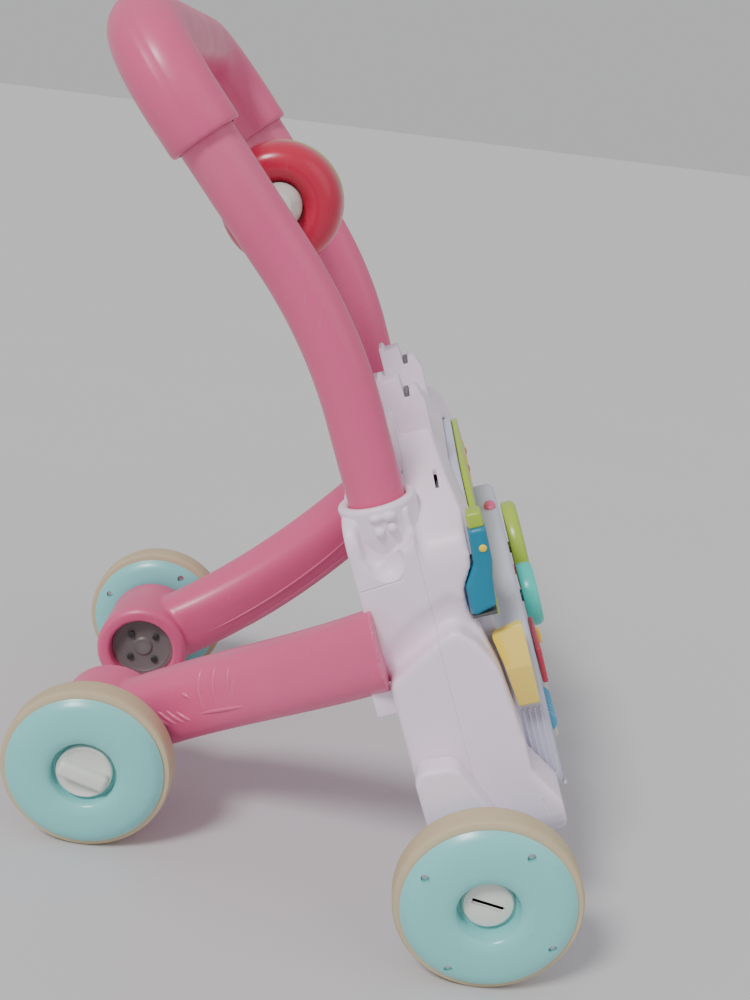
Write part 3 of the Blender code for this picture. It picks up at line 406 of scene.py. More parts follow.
def bodyRoom():
    room = lowerShape(body["wall"])
    carve(room, rearTop(body["wall"]), "UNION")
    carve(room, frontTop(body["wall"]), "UNION")
    depths = (body["seam"] - 0.002, body["seam"] + 0.006)
    carve(room, block((-0.160, depths[0], 0.060), (0.160, depths[1], 0.248)), "UNION")
    carve(room, block((-0.060, depths[0], 0.200), (0.060, depths[1], 0.270)), "UNION")
    # solid places round the sockets, behind the notches and above the crest
    thick = (((0.140, -0.036, 0.220), (0.190, 0.020, 0.270)),
             ((0.140, -0.070, 0.110), (0.190, -0.041, 0.256)),
             ((0.154, -0.070, 0.160), (0.190, 0.020, 0.214)))
    for side in (1, -1):
        for low, high in thick:
            carve(room, sideBlock(side, low[0], high[0], low[1:], high[1:]))
    for height in (0.095, 0.215):
        carve(room, block((-body["ribHalf"], -0.0290, height), (body["ribHalf"], 0.0105, height + 0.004)))
    return asShape(room)


# the scooped place under each arm's socket
recess = {"floor": 0.1555,
          "outline": [(-0.033, 0.275, 0), (-0.0320, 0.2616, 0.004), (-0.0273, 0.2465, 0.010),
                      (-0.0212, 0.2383, 0.006), (-0.0144, 0.2358, 0.005), (-0.0104, 0.2305, 0.004),
                      (-0.0052, 0.2272, 0.004), (0.0005, 0.2280, 0.004), (0.0040, 0.2350, 0.005),
                      (0.0042, 0.2450, 0.004), (0.0042, 0.275, 0)]}
notch = [(-0.090, 0.184, 0), (-0.0450, 0.184, 0.002), (-0.0448, 0.207, 0.006), (-0.0520, 0.220, 0.006),
         (-0.0535, 0.252, 0.003), (-0.090, 0.252, 0)]
latchRoom = [(-0.090, 0.116, 0), (-0.0575, 0.116, 0.002), (-0.0572, 0.124, 0), (-0.0540, 0.1572, 0),
             (-0.0500, 0.1735, 0.004), (-0.0470, 0.190, 0), (-0.090, 0.190, 0)]


def sideCuts():
    cuts = [prism(latchRoom, -0.190, -0.1436, "side")]
    for side in (1, -1):
        cuts.append(prism(recess["outline"], *sorted((side * recess["floor"], side * 0.190)), "side"))
        cuts.append(prism(notch, *sorted((side * 0.140, side * 0.190)), "side"))
    return cuts


def fineCuts():
    cuts = []
    for side in (1, -1):
        x, y = side * body["highHalf"], side * body["lowHalf"]
        lines = (((x, 0.0120, 0.2184), (x, -0.0140, 0.2204)), ((x, -0.0140, 0.2204), (x, -0.0128, 0.2270)),
                 ((x, -0.0250, 0.2368), (x, -0.0420, 0.2330)), ((y, -0.0600, 0.0790), (y, -0.0642, 0.0540)))
        cuts += [rod(0.0007, start, end, 8) for start, end in lines]
        cuts.append(sideBlock(side, 0.1120, 0.1280, (-0.0438, 0.2480), (-0.0417, 0.2700)))
        cuts.append(ball((side * 0.1655, -0.0075, 0.2325), (0.0095, 0.0105, 0.0120)))
    return join(cuts)


def halved(mesh, plane, keepRear):
    bm = bmesh.new()
    bm.from_mesh(mesh)
    parted = bmesh.ops.bisect_plane(bm, geom=bm.verts[:] + bm.edges[:] + bm.faces[:], plane_co=(0, plane, 0),
                                    plane_no=(0, 1, 0), clear_inner=keepRear, clear_outer=not keepRear)
    rim = [e for e in parted["geom_cut"] if isinstance(e, bmesh.types.BMEdge)]
    bmesh.ops.triangle_fill(bm, edges=rim, use_beauty=True, normal=(0, -1 if keepRear else 1, 0))
    bmesh.ops.recalc_face_normals(bm, faces=bm.faces)
    return bm


def crownPosts():
    posts = []
    profile = [(-0.0455, 0.268, 0), (-0.0205, 0.268, 0), (-0.0205, 0.3105, 0.0012),
               (-0.0232, 0.3105, 0.0012), (-0.0240, 0.3075, 0.0008), (-0.0335, 0.3080, 0.0020),
               (-0.0345, 0.2960, 0.0004), (-0.0375, 0.2960, 0.0004), (-0.0380, 0.3010, 0.0015),
               (-0.0430, 0.2992, 0.0040), (-0.0458, 0.2910, 0.0040)]
    for x in (-postX, postX):
        posts.append(soften(prism(profile, x - 0.011, x + 0.011, "side", 8), 0.0016, 3))
    return posts


def socketPieces(side):
    collar = [(0.0163, 0.2300), (0.0212, 0.2435), (0.0217, 0.2460), (0.0217, 0.2565), (0.0222, 0.2585),
              (0.0222, 0.2602), (0.0214, 0.2614), (0.0198, 0.2618), (0.0175, 0.2614), (0.0163, 0.2595)]
    pieces = [turned(collar, 72, "Z", (side * armX, armDepth, 0))]
    for depth, height, size in ((-0.0081, 0.2482, 0.0030), (-0.0152, 0.2492, 0.0028)):
        pieces.append(ball((side * 0.1600, depth, height), (0.0030, size, size), 20))
    for depth, height, tilt in ((-0.0080, 0.2562, 0.0024), (-0.0148, 0.2560, 0.0028)):
        pieces.append(ball((side * 0.1598, depth, height), (0.0026, 0.0042, tilt), 20))
    return pieces


def undercut(side):  # the hollow between the crest and the upper body
    route = ((0.030, 0.1640), (0.012, 0.1660), (-0.004, 0.1735), (-0.0211, 0.1855), (-0.0354, 0.1925),
             (-0.0480, 0.1850), (-0.0600, 0.1700), (-0.0700, 0.1600))
    line = [Vector((side * 0.1735, depth, height)) for depth, height in route]
    return sweep(line, lambda index, angle: (0.0125 * math.cos(angle), 0.0200 * math.sin(angle)),
                 acrossX, 32)


def buildBody():
    whole = asObject(rearTop())
    carve(whole, frontTop(), "UNION")
    for side in (1, -1):
        carve(whole, undercut(side))
    carve(whole, asShape(lowerShape()), "UNION")
    lip = asObject(prism(bothSides([(body["lowHalf"], body["bottom"], 0.028), (body["lowHalf"], 0.20, 0)]),
                         -0.1, -0.05))
    lipSide = [(body["lipFace"], 0.0750, 0.004), (-0.0580, 0.0970, 0.004), (-0.0520, 0.0970, 0),
               (-0.0520, body["bottom"] - 0.001, 0), (body["lipFace"], body["bottom"] - 0.001, 0.014)]
    carve(lip, prism(lipSide, -0.2, 0.2, "side"), "INTERSECT")
    carve(whole, asShape(lip), "UNION")
    carve(whole, bodyRoom())
    for cut in sideCuts():
        carve(whole, cut)
    carve(whole, prism(panelCorners(0.0006), -0.09, -0.0285))
    mould(whole, body["voxel"])
    carve(whole, fineCuts())
    rear = halved(whole.data, body["seam"] + 0.00005, True)
    front = halved(whole.data, body["seam"] - 0.00005, False)
    bpy.data.objects.remove(whole)
    fittings = crownPosts() + socketPieces(1) + socketPieces(-1)
    for side in (1, -1):
        fittings.append(sideBlock(side, 0.1690, 0.1722, (0.0060, 0.1470), (0.0185, 0.1660), 0.0008))
    piece("rearShellMoulded", join([rear] + fittings), looks["white_plastic"], "chassis",
          ["rear_shell"], leaning, 50)
    piece("frontShellMoulded", front, looks["white_plastic"], "chassis", ["front_shell"],
          leaning, 50)
    # dark blocks are painted shade: they darken the bottom of the slot under each socket and of each crown
    # post's notch
    gapShades = []
    for side in (1, -1):
        gapShades.append(sideBlock(side, 0.1125, 0.1275, (-0.0437, 0.2480), (-0.0418, 0.2550)))
        gapShades.append(sideBlock(side, postX - 0.0106, postX + 0.0106, (-0.0373, 0.2955), (-0.0347, 0.2985)))
    piece("shadowGaps", join(gapShades), looks["dark_plastic"], "chassis", (), leaning)


buildBody()
print("body shells moulded")


def buildStruts():
    for name, side in sides:
        low, high = sorted((side * (body["lowHalf"] + hairline), side * 0.1955))
        outline = [(-0.0420, 0.030, 0.018), (0.0045, 0.030, 0.018), (0.0058, 0.1215, 0.009),
                   (-0.0190, 0.1190, 0.009), (-0.0320, 0.0860, 0.024)]
        strut = asObject(soften(prism(outline, low, high, "side", 10), 0.0030, 4))
        axle = (-wheelRadius * math.sin(leanAngle), wheelRadius * math.cos(leanAngle))
        carve(strut, rod(axleBore - 0.0002, (side * 0.15, *axle), (side * 0.25, *axle), 32))
        piece("wheelStrutMoulded_" + name, strut, looks["white_plastic"], "chassis",
              ["wheel_strut_" + name], leaning)
    screws = []
    head = [(0.0, 0.0015), (0.0028, 0.0015), (0.0031, 0.0006), (0.0031, -0.0020), (0.0, -0.0020)]
    for side in (1, -1):
        for x, height in ((0.120, 0.075), (0.120, 0.135), (0.050, 0.060)):
            screws.append(turned(head, 20, "Y", (side * x, body["lowBack"], height), False))
    piece("backScrews", join(screws), looks["steel"], "chassis", (), leaning)


buildStruts()


# handle

handle = {"radius": 0.016, "wall": 0.0025, "foot": 0.196, "straightTop": 0.310, "bendRadius": 0.284,
          "bend": math.radians(18.5), "topRun": 0.071, "overlap": 0.020,
          "gripRadius": 0.0205, "sleeveGap": 0.0009, "seamDepth": 0.0006, "rise": 0.065, "corner": 0.048}


def armLine(side, steps=28):
    points = [Vector((side * armX, armDepth, handle["foot"])), Vector((side * armX, armDepth, 0.262)),
              Vector((side * armX, armDepth, handle["straightTop"] - 0.012)),
              Vector((side * armX, armDepth, handle["straightTop"]))]
    for step in range(1, steps + 1):
        angle = handle["bend"] * step / steps
        points.append(Vector((side * armX, armDepth + handle["bendRadius"] * (1 - math.cos(angle)),
                              handle["straightTop"] + handle["bendRadius"] * math.sin(angle))))
    along = Vector((0, math.sin(handle["bend"]), math.cos(handle["bend"])))
    points.append(points[-1] + along * (handle["topRun"] + handle["overlap"]))
    return [leaning @ point for point in points]


upper = Vector((0, math.sin(leanAngle + handle["bend"]), math.cos(leanAngle + handle["bend"])))
sleeveStart = armLine(0)[-1] - upper * handle["overlap"]
rollerPlace = sleeveStart - upper * (handle["topRun"] - 0.022)


def grooved(radius, lips):  # a tube's section with its two moulding seams, and less at the rounded mouths
    def section(index, angle):
        atSeam = abs(math.cos(angle)) < 0.03
        r = radius - lips.get(index, 0) - (handle["seamDepth"] if atSeam else 0)
        return r * math.cos(angle), r * math.sin(angle)
    return section


def buildArms():
    for name, side in sides:
        line = armLine(side)
        outer = asObject(sweep(line, grooved(handle["radius"], {}), acrossX, 72))
        longer = [line[0] - (line[1] - line[0]) * 0.1] + line + [line[-1] + upper * 0.01]
        carve(outer, sweep(longer, roundSection(handle["radius"] - handle["wall"]), acrossX, 48))
        inward = rollerPlace + Vector((side * (armX - 0.03), 0, 0))
        carve(outer, rod(0.0053, inward, rollerPlace + Vector((side * (armX - 0.002), 0, 0)), 32))
        piece("handleArm_" + name, outer, looks["pink_plastic"], "chassis",
              ["handle_arm_%s_outer" % name, "handle_arm_%s_inner" % name], None, 60)


def buildGrip():
    corner = handle["corner"]
    straight = handle["rise"] - corner
    flat = [(armX, 0.0), (armX, 0.0006), (armX, 0.002), (armX, straight * 0.5)]
    for side in (1, -1):
        for step in range(17):
            angle = math.pi / 2 * (step / 16 if side > 0 else 1 - step / 16)
            flat.append((side * (armX - corner * (1 - math.cos(angle))),
                         straight + corner * math.sin(angle)))
    flat += [(-armX, straight * 0.5), (-armX, 0.002), (-armX, 0.0006), (-armX, 0.0)]
    line = [sleeveStart + Vector((x, 0, 0)) + upper * run for x, run in flat]
    outward = upper.cross(Vector((1, 0, 0)))
    last = len(line) - 1
    lips = {0: 0.0011, 1: 0.0004, last - 1: 0.0004, last: 0.0011}  # rounded mouths of the sleeves
    grip = asObject(sweep(line, grooved(handle["gripRadius"], lips), lambda ahead: outward, 72))
    inner = handle["radius"] + handle["sleeveGap"]
    longer = [line[0] - upper * 0.01] + line + [line[-1] - upper * 0.01]
    carve(grip, sweep(longer, roundSection(inner), lambda ahead: outward, 48))
    piece("handleGrip", grip, looks["pink_plastic"], "chassis",
          ["handle_grip_front", "handle_grip_rear"], None, 60)


buildArms()
buildGrip()
print("handle bent")

roller = {"radius": 0.038, "bore": 0.0141, "half": 0.030, "steps": 96}


def buildRoller():
    r, half = roller["radius"], roller["half"]
    drum = [(roller["bore"], hairline / 2), (roller["bore"], half * 0.70), (0.0150, half * 0.76),
            (0.0172, half * 0.86), (0.0198, half * 0.965), (0.0225, half), (0.0262, half * 0.99),
            (0.0300, half * 0.95), (0.0332, half * 0.86), (0.0358, half * 0.72), (0.0373, half * 0.55),
            (r, half * 0.36), (r, 0.0016), (r - 0.0006, 0.0004), (r - 0.0012, hairline / 2)]
    for name, side, node in (("rollerRed", -1, "roller_red"), ("rollerGreen", 1, "roller_green")):
        slotName = node.split("_")[1] + "_plastic"
        piece(name, turned([(a, side * b) for a, b in drum], roller["steps"], "X", rollerPlace),
              looks[slotName], "roller", [node])
    waist = roller["bore"] - hairline
    core = [(0.0054, -0.046), (0.0076, -0.046), (0.0086, -0.0452), (0.0092, -0.0435),
            (waist - 0.0012, -0.030), (waist, -0.027), (waist, 0.027), (waist - 0.0012, 0.030),
            (0.0092, 0.0435), (0.0086, 0.0452), (0.0076, 0.046), (0.0054, 0.046)]
    piece("rollerCore", turned(core, 64, "X", rollerPlace), looks["ivory_plastic"], "roller",
          ["roller_core"])
    bar = rod(0.005, rollerPlace - Vector((0.134, 0, 0)), rollerPlace + Vector((0.134, 0, 0)), 40, 0.0008)
    piece("rollerRod", bar, looks["ivory_plastic"], "chassis", ["roller_rod"])


buildRoller()
print("roller turned")


# rear legs

leg = {"halfWidth": 0.021, "halfHeight": 0.0235, "hubRadius": 0.033, "hubInner": 0.046, "hubOuter": 0.1025,
       "wellRadius": 0.023, "wellDepth": 0.012, "screwRing": 0.0125, "squareness": 0.75, "steps": 40,
       "strokeSteps": 16}


def legLine(side, steps):
    hub = Vector((side * (leg["hubInner"] + leg["hubOuter"]) / 2, *rearAxle[1:]))
    end = leaning @ Vector((side * (body["highHalf"] - 0.008), body["back"] + hairline, 0.180))
    bendOne = hub + Vector((-side * 0.006, -0.055, 0.030))
    bendTwo = end + Vector((-side * 0.047, 0.052, -0.047))
    points = []
    for step in range(steps + 1):
        t = step / steps
        points.append(hub * (1 - t) ** 3 + bendOne * 3 * t * (1 - t) ** 2 + bendTwo * 3 * t * t * (1 - t)
                      + end * t ** 3)
    return points


def legAcross(ahead):
    return ahead.cross(Vector((0, 0, 1)))


def squared(value):
    return math.copysign(abs(value) ** leg["squareness"], value)


def legSection(index, angle, lift=0.0):
    return (squared(math.cos(angle)) * (leg["halfWidth"] + lift),
            squared(math.sin(angle)) * (leg["halfHeight"] + lift))


def legPoint(line, t, angle, lift):
    index = min(int(t * (len(line) - 1)), len(line) - 2)
    here = line[index].lerp(line[index + 1], t * (len(line) - 1) - index)
    ahead = (line[index + 1] - line[index]).normalized()
    side = legAcross(ahead).normalized()
    up = side.cross(ahead).normalized()
    a, b = legSection(index, angle, lift)
    return here + side * a + up * b


# raised strokes on a leg: the part of its length they span, and how high round it each end lies
leafStrokes = [(0.235, 0.290, 0.10, -0.22), (0.265, 0.320, 0.08, -0.26), (0.300, 0.350, 0.04, -0.28),
               (0.335, 0.380, 0.00, -0.30), (0.440, 0.470, -0.15, 0.95), (0.500, 0.525, -0.10, 0.80),
               (0.560, 0.580, 0.00, 0.62), (0.420, 0.600, -0.18, -0.30), (0.380, 0.410, 0.30, 0.10)]
innerGrooves = [(0.20, 0.97, -0.20, 0.10), (0.24, 0.97, -0.62, -0.35), (0.30, 0.97, -1.00, -0.85)]


def tapered(size):
    def section(index, angle):
        r = size * max(0.15, math.sin(math.pi * index / leg["strokeSteps"]) ** 0.5)
        return r * math.cos(angle), r * math.sin(angle)
    return section


def legStrokes(line, side, outer):
    marks = []
    facing = math.pi if (side > 0) == outer else 0
    way = -1 if facing else 1
    for start, end, low, high in (leafStrokes if outer else innerGrooves):
        points = []
        for step in range(leg["strokeSteps"] + 1):
            t = step / leg["strokeSteps"]
            angle = facing + way * (low + (high - low) * t ** 1.3)
            points.append(legPoint(line, start + (end - start) * t, angle, -0.0004))
        marks.append(sweep(points, tapered(0.0014 if outer else 0.0011), legAcross, 10))
    return marks


def trimBlock():
    trim = block((-0.3, -0.3, -0.3), (0.3, body["lowBack"] + hairline, 0.6))
    trim.transform(leaning)
    return trim


def buildLegs():
    for name, side in sides:
        line = legLine(side, leg["steps"])
        beyond = line[-1] + (line[-1] - line[-2]).normalized() * 0.030
        made = asObject(sweep(line[2:] + [beyond], legSection, legAcross, 48))
        carve(made, trimBlock())
        inner, outer, well, rim = leg["hubInner"], leg["hubOuter"], leg["wellRadius"], leg["hubRadius"]
        floor = inner + leg["wellDepth"]
        section = [(axleBore, floor), (well, floor), (well, inner + 0.0015), (well + 0.0015, inner),
                   (rim - 0.003, inner), (rim, inner + 0.003), (rim, outer - 0.003), (rim - 0.003, outer),
                   (axleBore, outer)]
        hub = turned(section, 64, "X", rearAxle)
        if side < 0:
            bmesh.ops.scale(hub, vec=(-1, 1, 1), verts=hub.verts)
            bmesh.ops.recalc_face_normals(hub, faces=hub.faces)
        carve(made, hub, "UNION")
        carve(made, rod(well, (side * 0.03, *rearAxle[1:]), (side * floor, *rearAxle[1:]), 64))
        mould(made, 0.0014, 3)
        piece("rearLegMoulded_" + name, made, looks["pink_plastic"], "chassis",
              ["rear_leg_" + name], None, 60)
        piece("legStrokes_" + name, join(legStrokes(line, side, True) + legStrokes(line, side, False)),
              looks["pink_plastic"], "chassis")
        cover = [(0.0, 0.0084), (0.0060, 0.0080), (0.0075, 0.0092), (0.0180, 0.0092), (0.0195, 0.0082),
                 (0.0225, 0.0088), (0.0225, 0.0116), (0.0, 0.0116)]
        plate = turned([(r, side * (inner + along)) for r, along in cover], 64, "X", rearAxle, False)
        piece("hubCoverMoulded_" + name, plate, looks["grey_plastic"], "chassis",
              ["hub_cover_" + name])
        dimples = []
        for index in range(4):
            turn = math.pi / 4 + index * math.pi / 2
            spot = (axleReach + leg["screwRing"] * math.cos(turn),
                    wheelRadius + leg["screwRing"] * math.sin(turn))
            dimples.append(rod(0.0024, (side * (inner + 0.0072), *spot), (side * (inner + 0.0095), *spot),
                               20, 0.0005))
        piece("hubScrews_" + name, join(dimples), looks["dark_plastic"], "chassis")


buildLegs()
print("rear legs moulded")


# wheels

wheel = {"width": 0.033, "discRadius": 0.0479, "drum": 0.040, "tyreWidth": 0.018, "steps": 128,
         "screwRing": 0.0405, "frontOuter": 0.230, "rearOuter": 0.137,
         "frontWell": 0.0175, "frontFloor": 0.0190, "rearWell": 0.0200, "rearFloor": 0.0236}


def discSection(well, floor):
    middle = wheel["width"] / 2 + hairline / 2
    shoulder = (wheel["width"] + wheel["tyreWidth"]) / 2 + hairline
    skirt = wheel["drum"] - hairline
    return [(axleBore, floor), (well - 0.0022, floor), (well - 0.0008, floor + 0.0006),
            (well - 0.0002, floor + 0.0020), (well, 0.0292), (well + 0.0006, 0.0306),
            (well + 0.0020, 0.0318), (well + 0.0045, 0.0327), (well + 0.0080, 0.0330), (0.0335, 0.0328),
            (0.0385, 0.0321), (0.0420, 0.0311), (0.0450, 0.0295), (0.0468, 0.0276),
            (wheel["discRadius"], shoulder + 0.0008), (wheel["discRadius"] - 0.0004, shoulder),
            (skirt, shoulder), (skirt, middle), (skirt - 0.0025, middle), (skirt - 0.0025, 0.0285),
            (well + 0.0025, 0.0285), (well + 0.0018, floor - 0.0022), (axleBore, floor - 0.0022)]


def buildWheel(place, name, side, y, outerPlane, well, floor, screwed):
    centre = (0, y, wheelRadius)
    innerPlane = outerPlane - wheel["width"]
    halves = (("outer_disc", [(r, side * (innerPlane + a)) for r, a in discSection(well, floor)], 1),
              ("inner_disc", [(r, side * (outerPlane - a)) for r, a in discSection(0.016, 0.029)], -1))
    label = "%s_wheel_%s" % (place, name)
    for part, section, way in halves:
        disc = asObject(turned(section, wheel["steps"], "X", centre))
        if part == screwed:
            plane = side * (outerPlane if way > 0 else innerPlane)
            into = -side * way
            holes, screws = [], []
            for index in range(4):
                turn = math.radians(25 + 90 * index)
                spot = (y + wheel["screwRing"] * math.cos(turn),
                        wheelRadius + wheel["screwRing"] * math.sin(turn))
                holes.append(rod(0.0024, (plane - into * 0.002, *spot), (plane + into * 0.0042, *spot), 24))
                screws.append(rod(0.0018, (plane + into * 0.0035, *spot),
                                  (plane + into * 0.0044, *spot), 16))
            carve(disc, join(holes))
            piece("screws_" + label, join(screws), looks["steel"], label)
        piece(label + "_" + part + "_turned", disc, looks["mint_plastic"], label,
              [label + "_" + part])
    edge, r = wheel["tyreWidth"] / 2, wheelRadius
    middle = innerPlane + wheel["width"] / 2
    tread = [(wheel["drum"], -edge), (r - 0.0030, -edge), (r - 0.0012, -edge + 0.0006),
             (r - 0.0003, -edge + 0.0020), (r, -edge + 0.0036), (r, edge - 0.0036),
             (r - 0.0003, edge - 0.0020), (r - 0.0012, edge - 0.0006), (r - 0.0030, edge),
             (wheel["drum"], edge)]
    tyre = turned([(a, side * (middle + b)) for a, b in tread], wheel["steps"], "X", centre)
    piece(label + "_tyre_turned", tyre, looks["beige_tyre"], label, [label + "_tyre"])


def buildWheels():
    for name, side in sides:
        buildWheel("front", name, side, -axleReach, wheel["frontOuter"], wheel["frontWell"],
                   wheel["frontFloor"], "outer_disc")
        buildWheel("rear", name, side, axleReach, wheel["rearOuter"], wheel["rearWell"], wheel["rearFloor"],
                   "inner_disc")
        floor = wheel["frontOuter"] - wheel["width"] + wheel["frontFloor"]
        dome = [(0.0, floor + 0.0045), (0.0110, floor + 0.0045), (0.0134, floor + 0.0040),
                (0.0143, floor + 0.0028), (0.0145, floor + hairline), (0.0, floor + hairline)]
        cap = asObject(turned(dome, 48, "X", (0, 0, 0), False))
        slot = block((floor + 0.0026, -0.0095, -0.0017), (floor + 0.010, 0.0095, 0.0017), 0.0005)
        slot.transform(Matrix.Rotation(math.radians(12), 4, "X"))
        carve(cap, slot)
        if side < 0:
            mirrored(cap)
        piece("axleCapMoulded_" + name, cap, looks["ivory_plastic"], "chassis",
              ["axle_cap_" + name], Matrix.Translation((0, -axleReach, wheelRadius)))
        # a dark sheet at the slot's floor is painted shade in the axle cap's slot
        slotShade = sideBlock(side, floor + 0.0022, floor + 0.0026, (-0.0092, -0.0015), (0.0092, 0.0015))
        slotShade.transform(Matrix.Translation((0, -axleReach, wheelRadius))
                       @ Matrix.Rotation(math.radians(12), 4, "X"))
        piece("axleCapSlotShade_" + name, slotShade, looks["dark_plastic"], "chassis")
        floor = wheel["rearOuter"] - wheel["width"] + wheel["rearFloor"]
        dish = [(0.0, floor + 0.0026), (0.0120, floor + 0.0028), (0.0145, floor + 0.0036),
                (0.0160, floor + 0.0044), (0.0170, floor + 0.0036), (0.0170, floor + hairline),
                (0.0, floor + hairline)]
        knob = asObject(turned(dish, 64, "X", (0, 0, 0), False))
        bar = soften(block((floor + 0.001, -0.0153, -0.0052), (floor + 0.0112, 0.0153, 0.0052)), 0.0030, 5)
        bar.transform(Matrix.Rotation(math.radians(18), 4, "X"))
        carve(knob, bar, "UNION")
        if side < 0:
            mirrored(knob)
        piece("lockKnobMoulded_" + name, knob, looks["ivory_plastic"], "lock_knob_" + name,
              ["lock_knob_" + name], Matrix.Translation(rearAxle))


buildWheels()
print("wheels turned")


# activity panel, in the leaning frame

panel = {"face": -0.0745, "boardFace": -0.0565, "split": -0.040, "wall": 0.0026, "voxel": 0.0016,
         "keyPitch": 0.034, "keyWidth": 0.0325, "keyBottom": 0.064, "keyLength": 0.030,
         "green": (0.032, 0.1535, 0.032), "teal": (-0.034, 0.1430, 0.021),
         "flowers": ((-0.095, 0.212), (0.0, 0.226), (0.095, 0.212))}


def buildHousing():
    made = asObject(prism(panelCorners(), panel["boardFace"], panel["split"]))
    front = prism(playCorners(), panel["face"], panel["split"] - 0.003, "front", 10)
    carve(made, soften(front, 0.0042, 4, 60), "UNION")
    room = asObject(prism(panelCorners(-panel["wall"]), panel["boardFace"] + panel["wall"],
                          panel["split"] + 0.01))
    carve(room, prism(playCorners(-panel["wall"]), panel["face"] + panel["wall"], panel["split"] - 0.004),
          "UNION")
    carve(made, asShape(room))
    half = panel["keyPitch"] * 2 + panel["keyWidth"] / 2 + 0.0006
    low, high = panel["keyBottom"] - 0.0006, panel["keyBottom"] + panel["keyLength"] + 0.0006
    carve(made, block((-half, -0.09, low), (half, -0.06, high)))
    carve(made, block((-0.126, -0.09, 0.0890), (-0.089, -0.062, 0.1050)))
    carve(made, block((0.101, -0.09, 0.1045), (0.123, -0.062, 0.1115)))
    for x, height, _ in (panel["green"], panel["teal"]):
        carve(made, rod(0.0046, (x, -0.10, height), (x, -0.06, height), 32))
    mould(made, panel["voxel"], 3)
    piece("panelHousingMoulded", made, looks["lavender_plastic"], "panel",
          ["panel_housing"], leaning, 50)
    ribs = []
    for side in (1, -1):
        for index in range(9):
            depth = panel["face"] + 0.0035 + index * 0.0033
            ribs.append(sideBlock(side, 0.1418, 0.1436, (depth, 0.076), (depth + 0.0014, 0.118), 0.0004, 2))
        for index in range(4):  # short bars at the face's bottom corners
            near = 0.094 + index * 0.012
            ribs.append(sideBlock(side, near, near + 0.006, (panel["face"] - 0.0012, 0.0605),
                                  (panel["face"] + 0.001, 0.0625), 0.0004, 2))
    piece("panelRibs", join(ribs), looks["lavender_plastic"], "panel", (), leaning)


def buildDial(name, place, slotName):
    x, height, r = place
    front, rear = -0.0865, -0.0765
    low = front + 0.0018
    section = [(0.0, front + 0.0016), (r * 0.16, front + 0.0014), (r * 0.20, front), (r * 0.30, front),
               (r * 0.36, low), (r * 0.66, low), (r * 0.74, front), (r * 0.90, front + 0.0002),
               (r * 0.97, front + 0.0016), (r, front + 0.0036), (r, rear - 0.0016), (r * 0.97, rear),
               (0.004, rear), (0.004, -0.0675), (0.0, -0.0675)]
    disc = turned(section, 96, "Y", (x, 0, height), False)
    studs = []
    for index in range(6):
        turn = math.tau * index / 6
        spot = (x + r * 0.51 * math.cos(turn), low, height + r * 0.51 * math.sin(turn))
        studs.append(ball(spot, (r * 0.11, 0.0012, r * 0.11), 16))
    piece(name + "_turned", disc, looks[slotName], name, [name], leaning)
    piece(name + "_studs", join(studs), looks["yellow_plastic"], name, (), leaning)


def buildFacePieces():
    sheet = prism(panelCorners(-0.0012), -0.0605, panel["boardFace"] - hairline, "front", 12)
    plate = asObject(soften(sheet, 0.0011, 3))
    carve(plate, prism(playCorners(0.0006), -0.08, -0.05))
    carve(plate, block((-0.2, -0.08, 0), (0.2, -0.04, 0.182)))
    piece("topTrimMoulded", plate, looks["green_plastic"], "panel", ["top_trim"], leaning)
    petals = []
    for x, height in panel["flowers"]:
        for index in range(5):
            turn = math.tau * index / 5 + math.pi / 2
            spot = (x + 0.0055 * math.cos(turn), -0.0604, height + 0.0055 * math.sin(turn))
            petals.append(ball(spot, (0.0042, 0.0009, 0.0042), 16))
    piece("flowerPetals", join(petals), looks["yellow_plastic"], "panel", (), leaning)
    hearts = [ball((x, -0.0607, height), (0.0031, 0.0014, 0.0031), 16) for x, height in panel["flowers"]]
    piece("flowerHearts", join(hearts), looks["red_plastic"], "panel", (), leaning)
    for colour in ("green", "teal"):
        buildDial(colour + "_disc", panel[colour], colour + "_plastic")
    for index in range(5):
        x = (index - 2) * panel["keyPitch"]
        half, top = panel["keyWidth"] / 2, panel["keyBottom"] + panel["keyLength"]
        key = block((x - half, -0.0780, panel["keyBottom"]), (x + half, -0.0700, top), 0.0016, 4)
        name = "piano_key_%d" % (index + 1)
        piece(name + "_moulded", key, looks["ivory_plastic"], name, [name], leaning)
        pad = ball((x, -0.0780, panel["keyBottom"] + 0.010), (0.0050, 0.0008, 0.0050), 20)
        colour = ("red_plastic", "yellow_plastic", "green_plastic", "sky_plastic", "teal_plastic")[index]
        piece(name + "_pad", pad, looks[colour], name, (), leaning)
    door = asObject(soften(block((-0.117, -0.0790, 0.1185), (-0.067, -0.0755, 0.1415)), 0.0012, 3))
    carve(door, block((-0.113, -0.0820, 0.1220), (-0.071, -0.0783, 0.1380), 0.0006, 2))
    piece("peekDoorMoulded", door, looks["red_plastic"], "peek_door", ["peek_door"], leaning)
    pull = soften(block((-0.0745, -0.0815, 0.1250), (-0.0710, -0.0780, 0.1350)), 0.0012, 3)
    piece("peekDoorPull", pull, looks["yellow_plastic"], "peek_door", (), leaning)
    ridges = []
    for index in range(15):
        x = -0.1242 + index * 0.00242
        wide = 0.0070 if index % 2 == 0 else 0.0062
        ridges += [(wide, x), (wide, x + 0.0018)]
    drum = [(0.0, -0.1250), (0.0058, -0.1250)] + ridges + [(0.0058, -0.0900), (0.0, -0.0900)]
    spool = turned(drum, 48, "X", (0, -0.0715, 0.097), False)
    piece("blueRollerTurned", spool, looks["sky_plastic"], "blue_roller", ["blue_roller"],
          leaning)
    switch = soften(block((0.102, -0.0785, 0.105), (0.110, -0.0695, 0.111)), 0.0009, 3)
    piece("powerSwitchMoulded", switch, looks["red_plastic"], "power_switch",
          ["power_switch"], leaning)


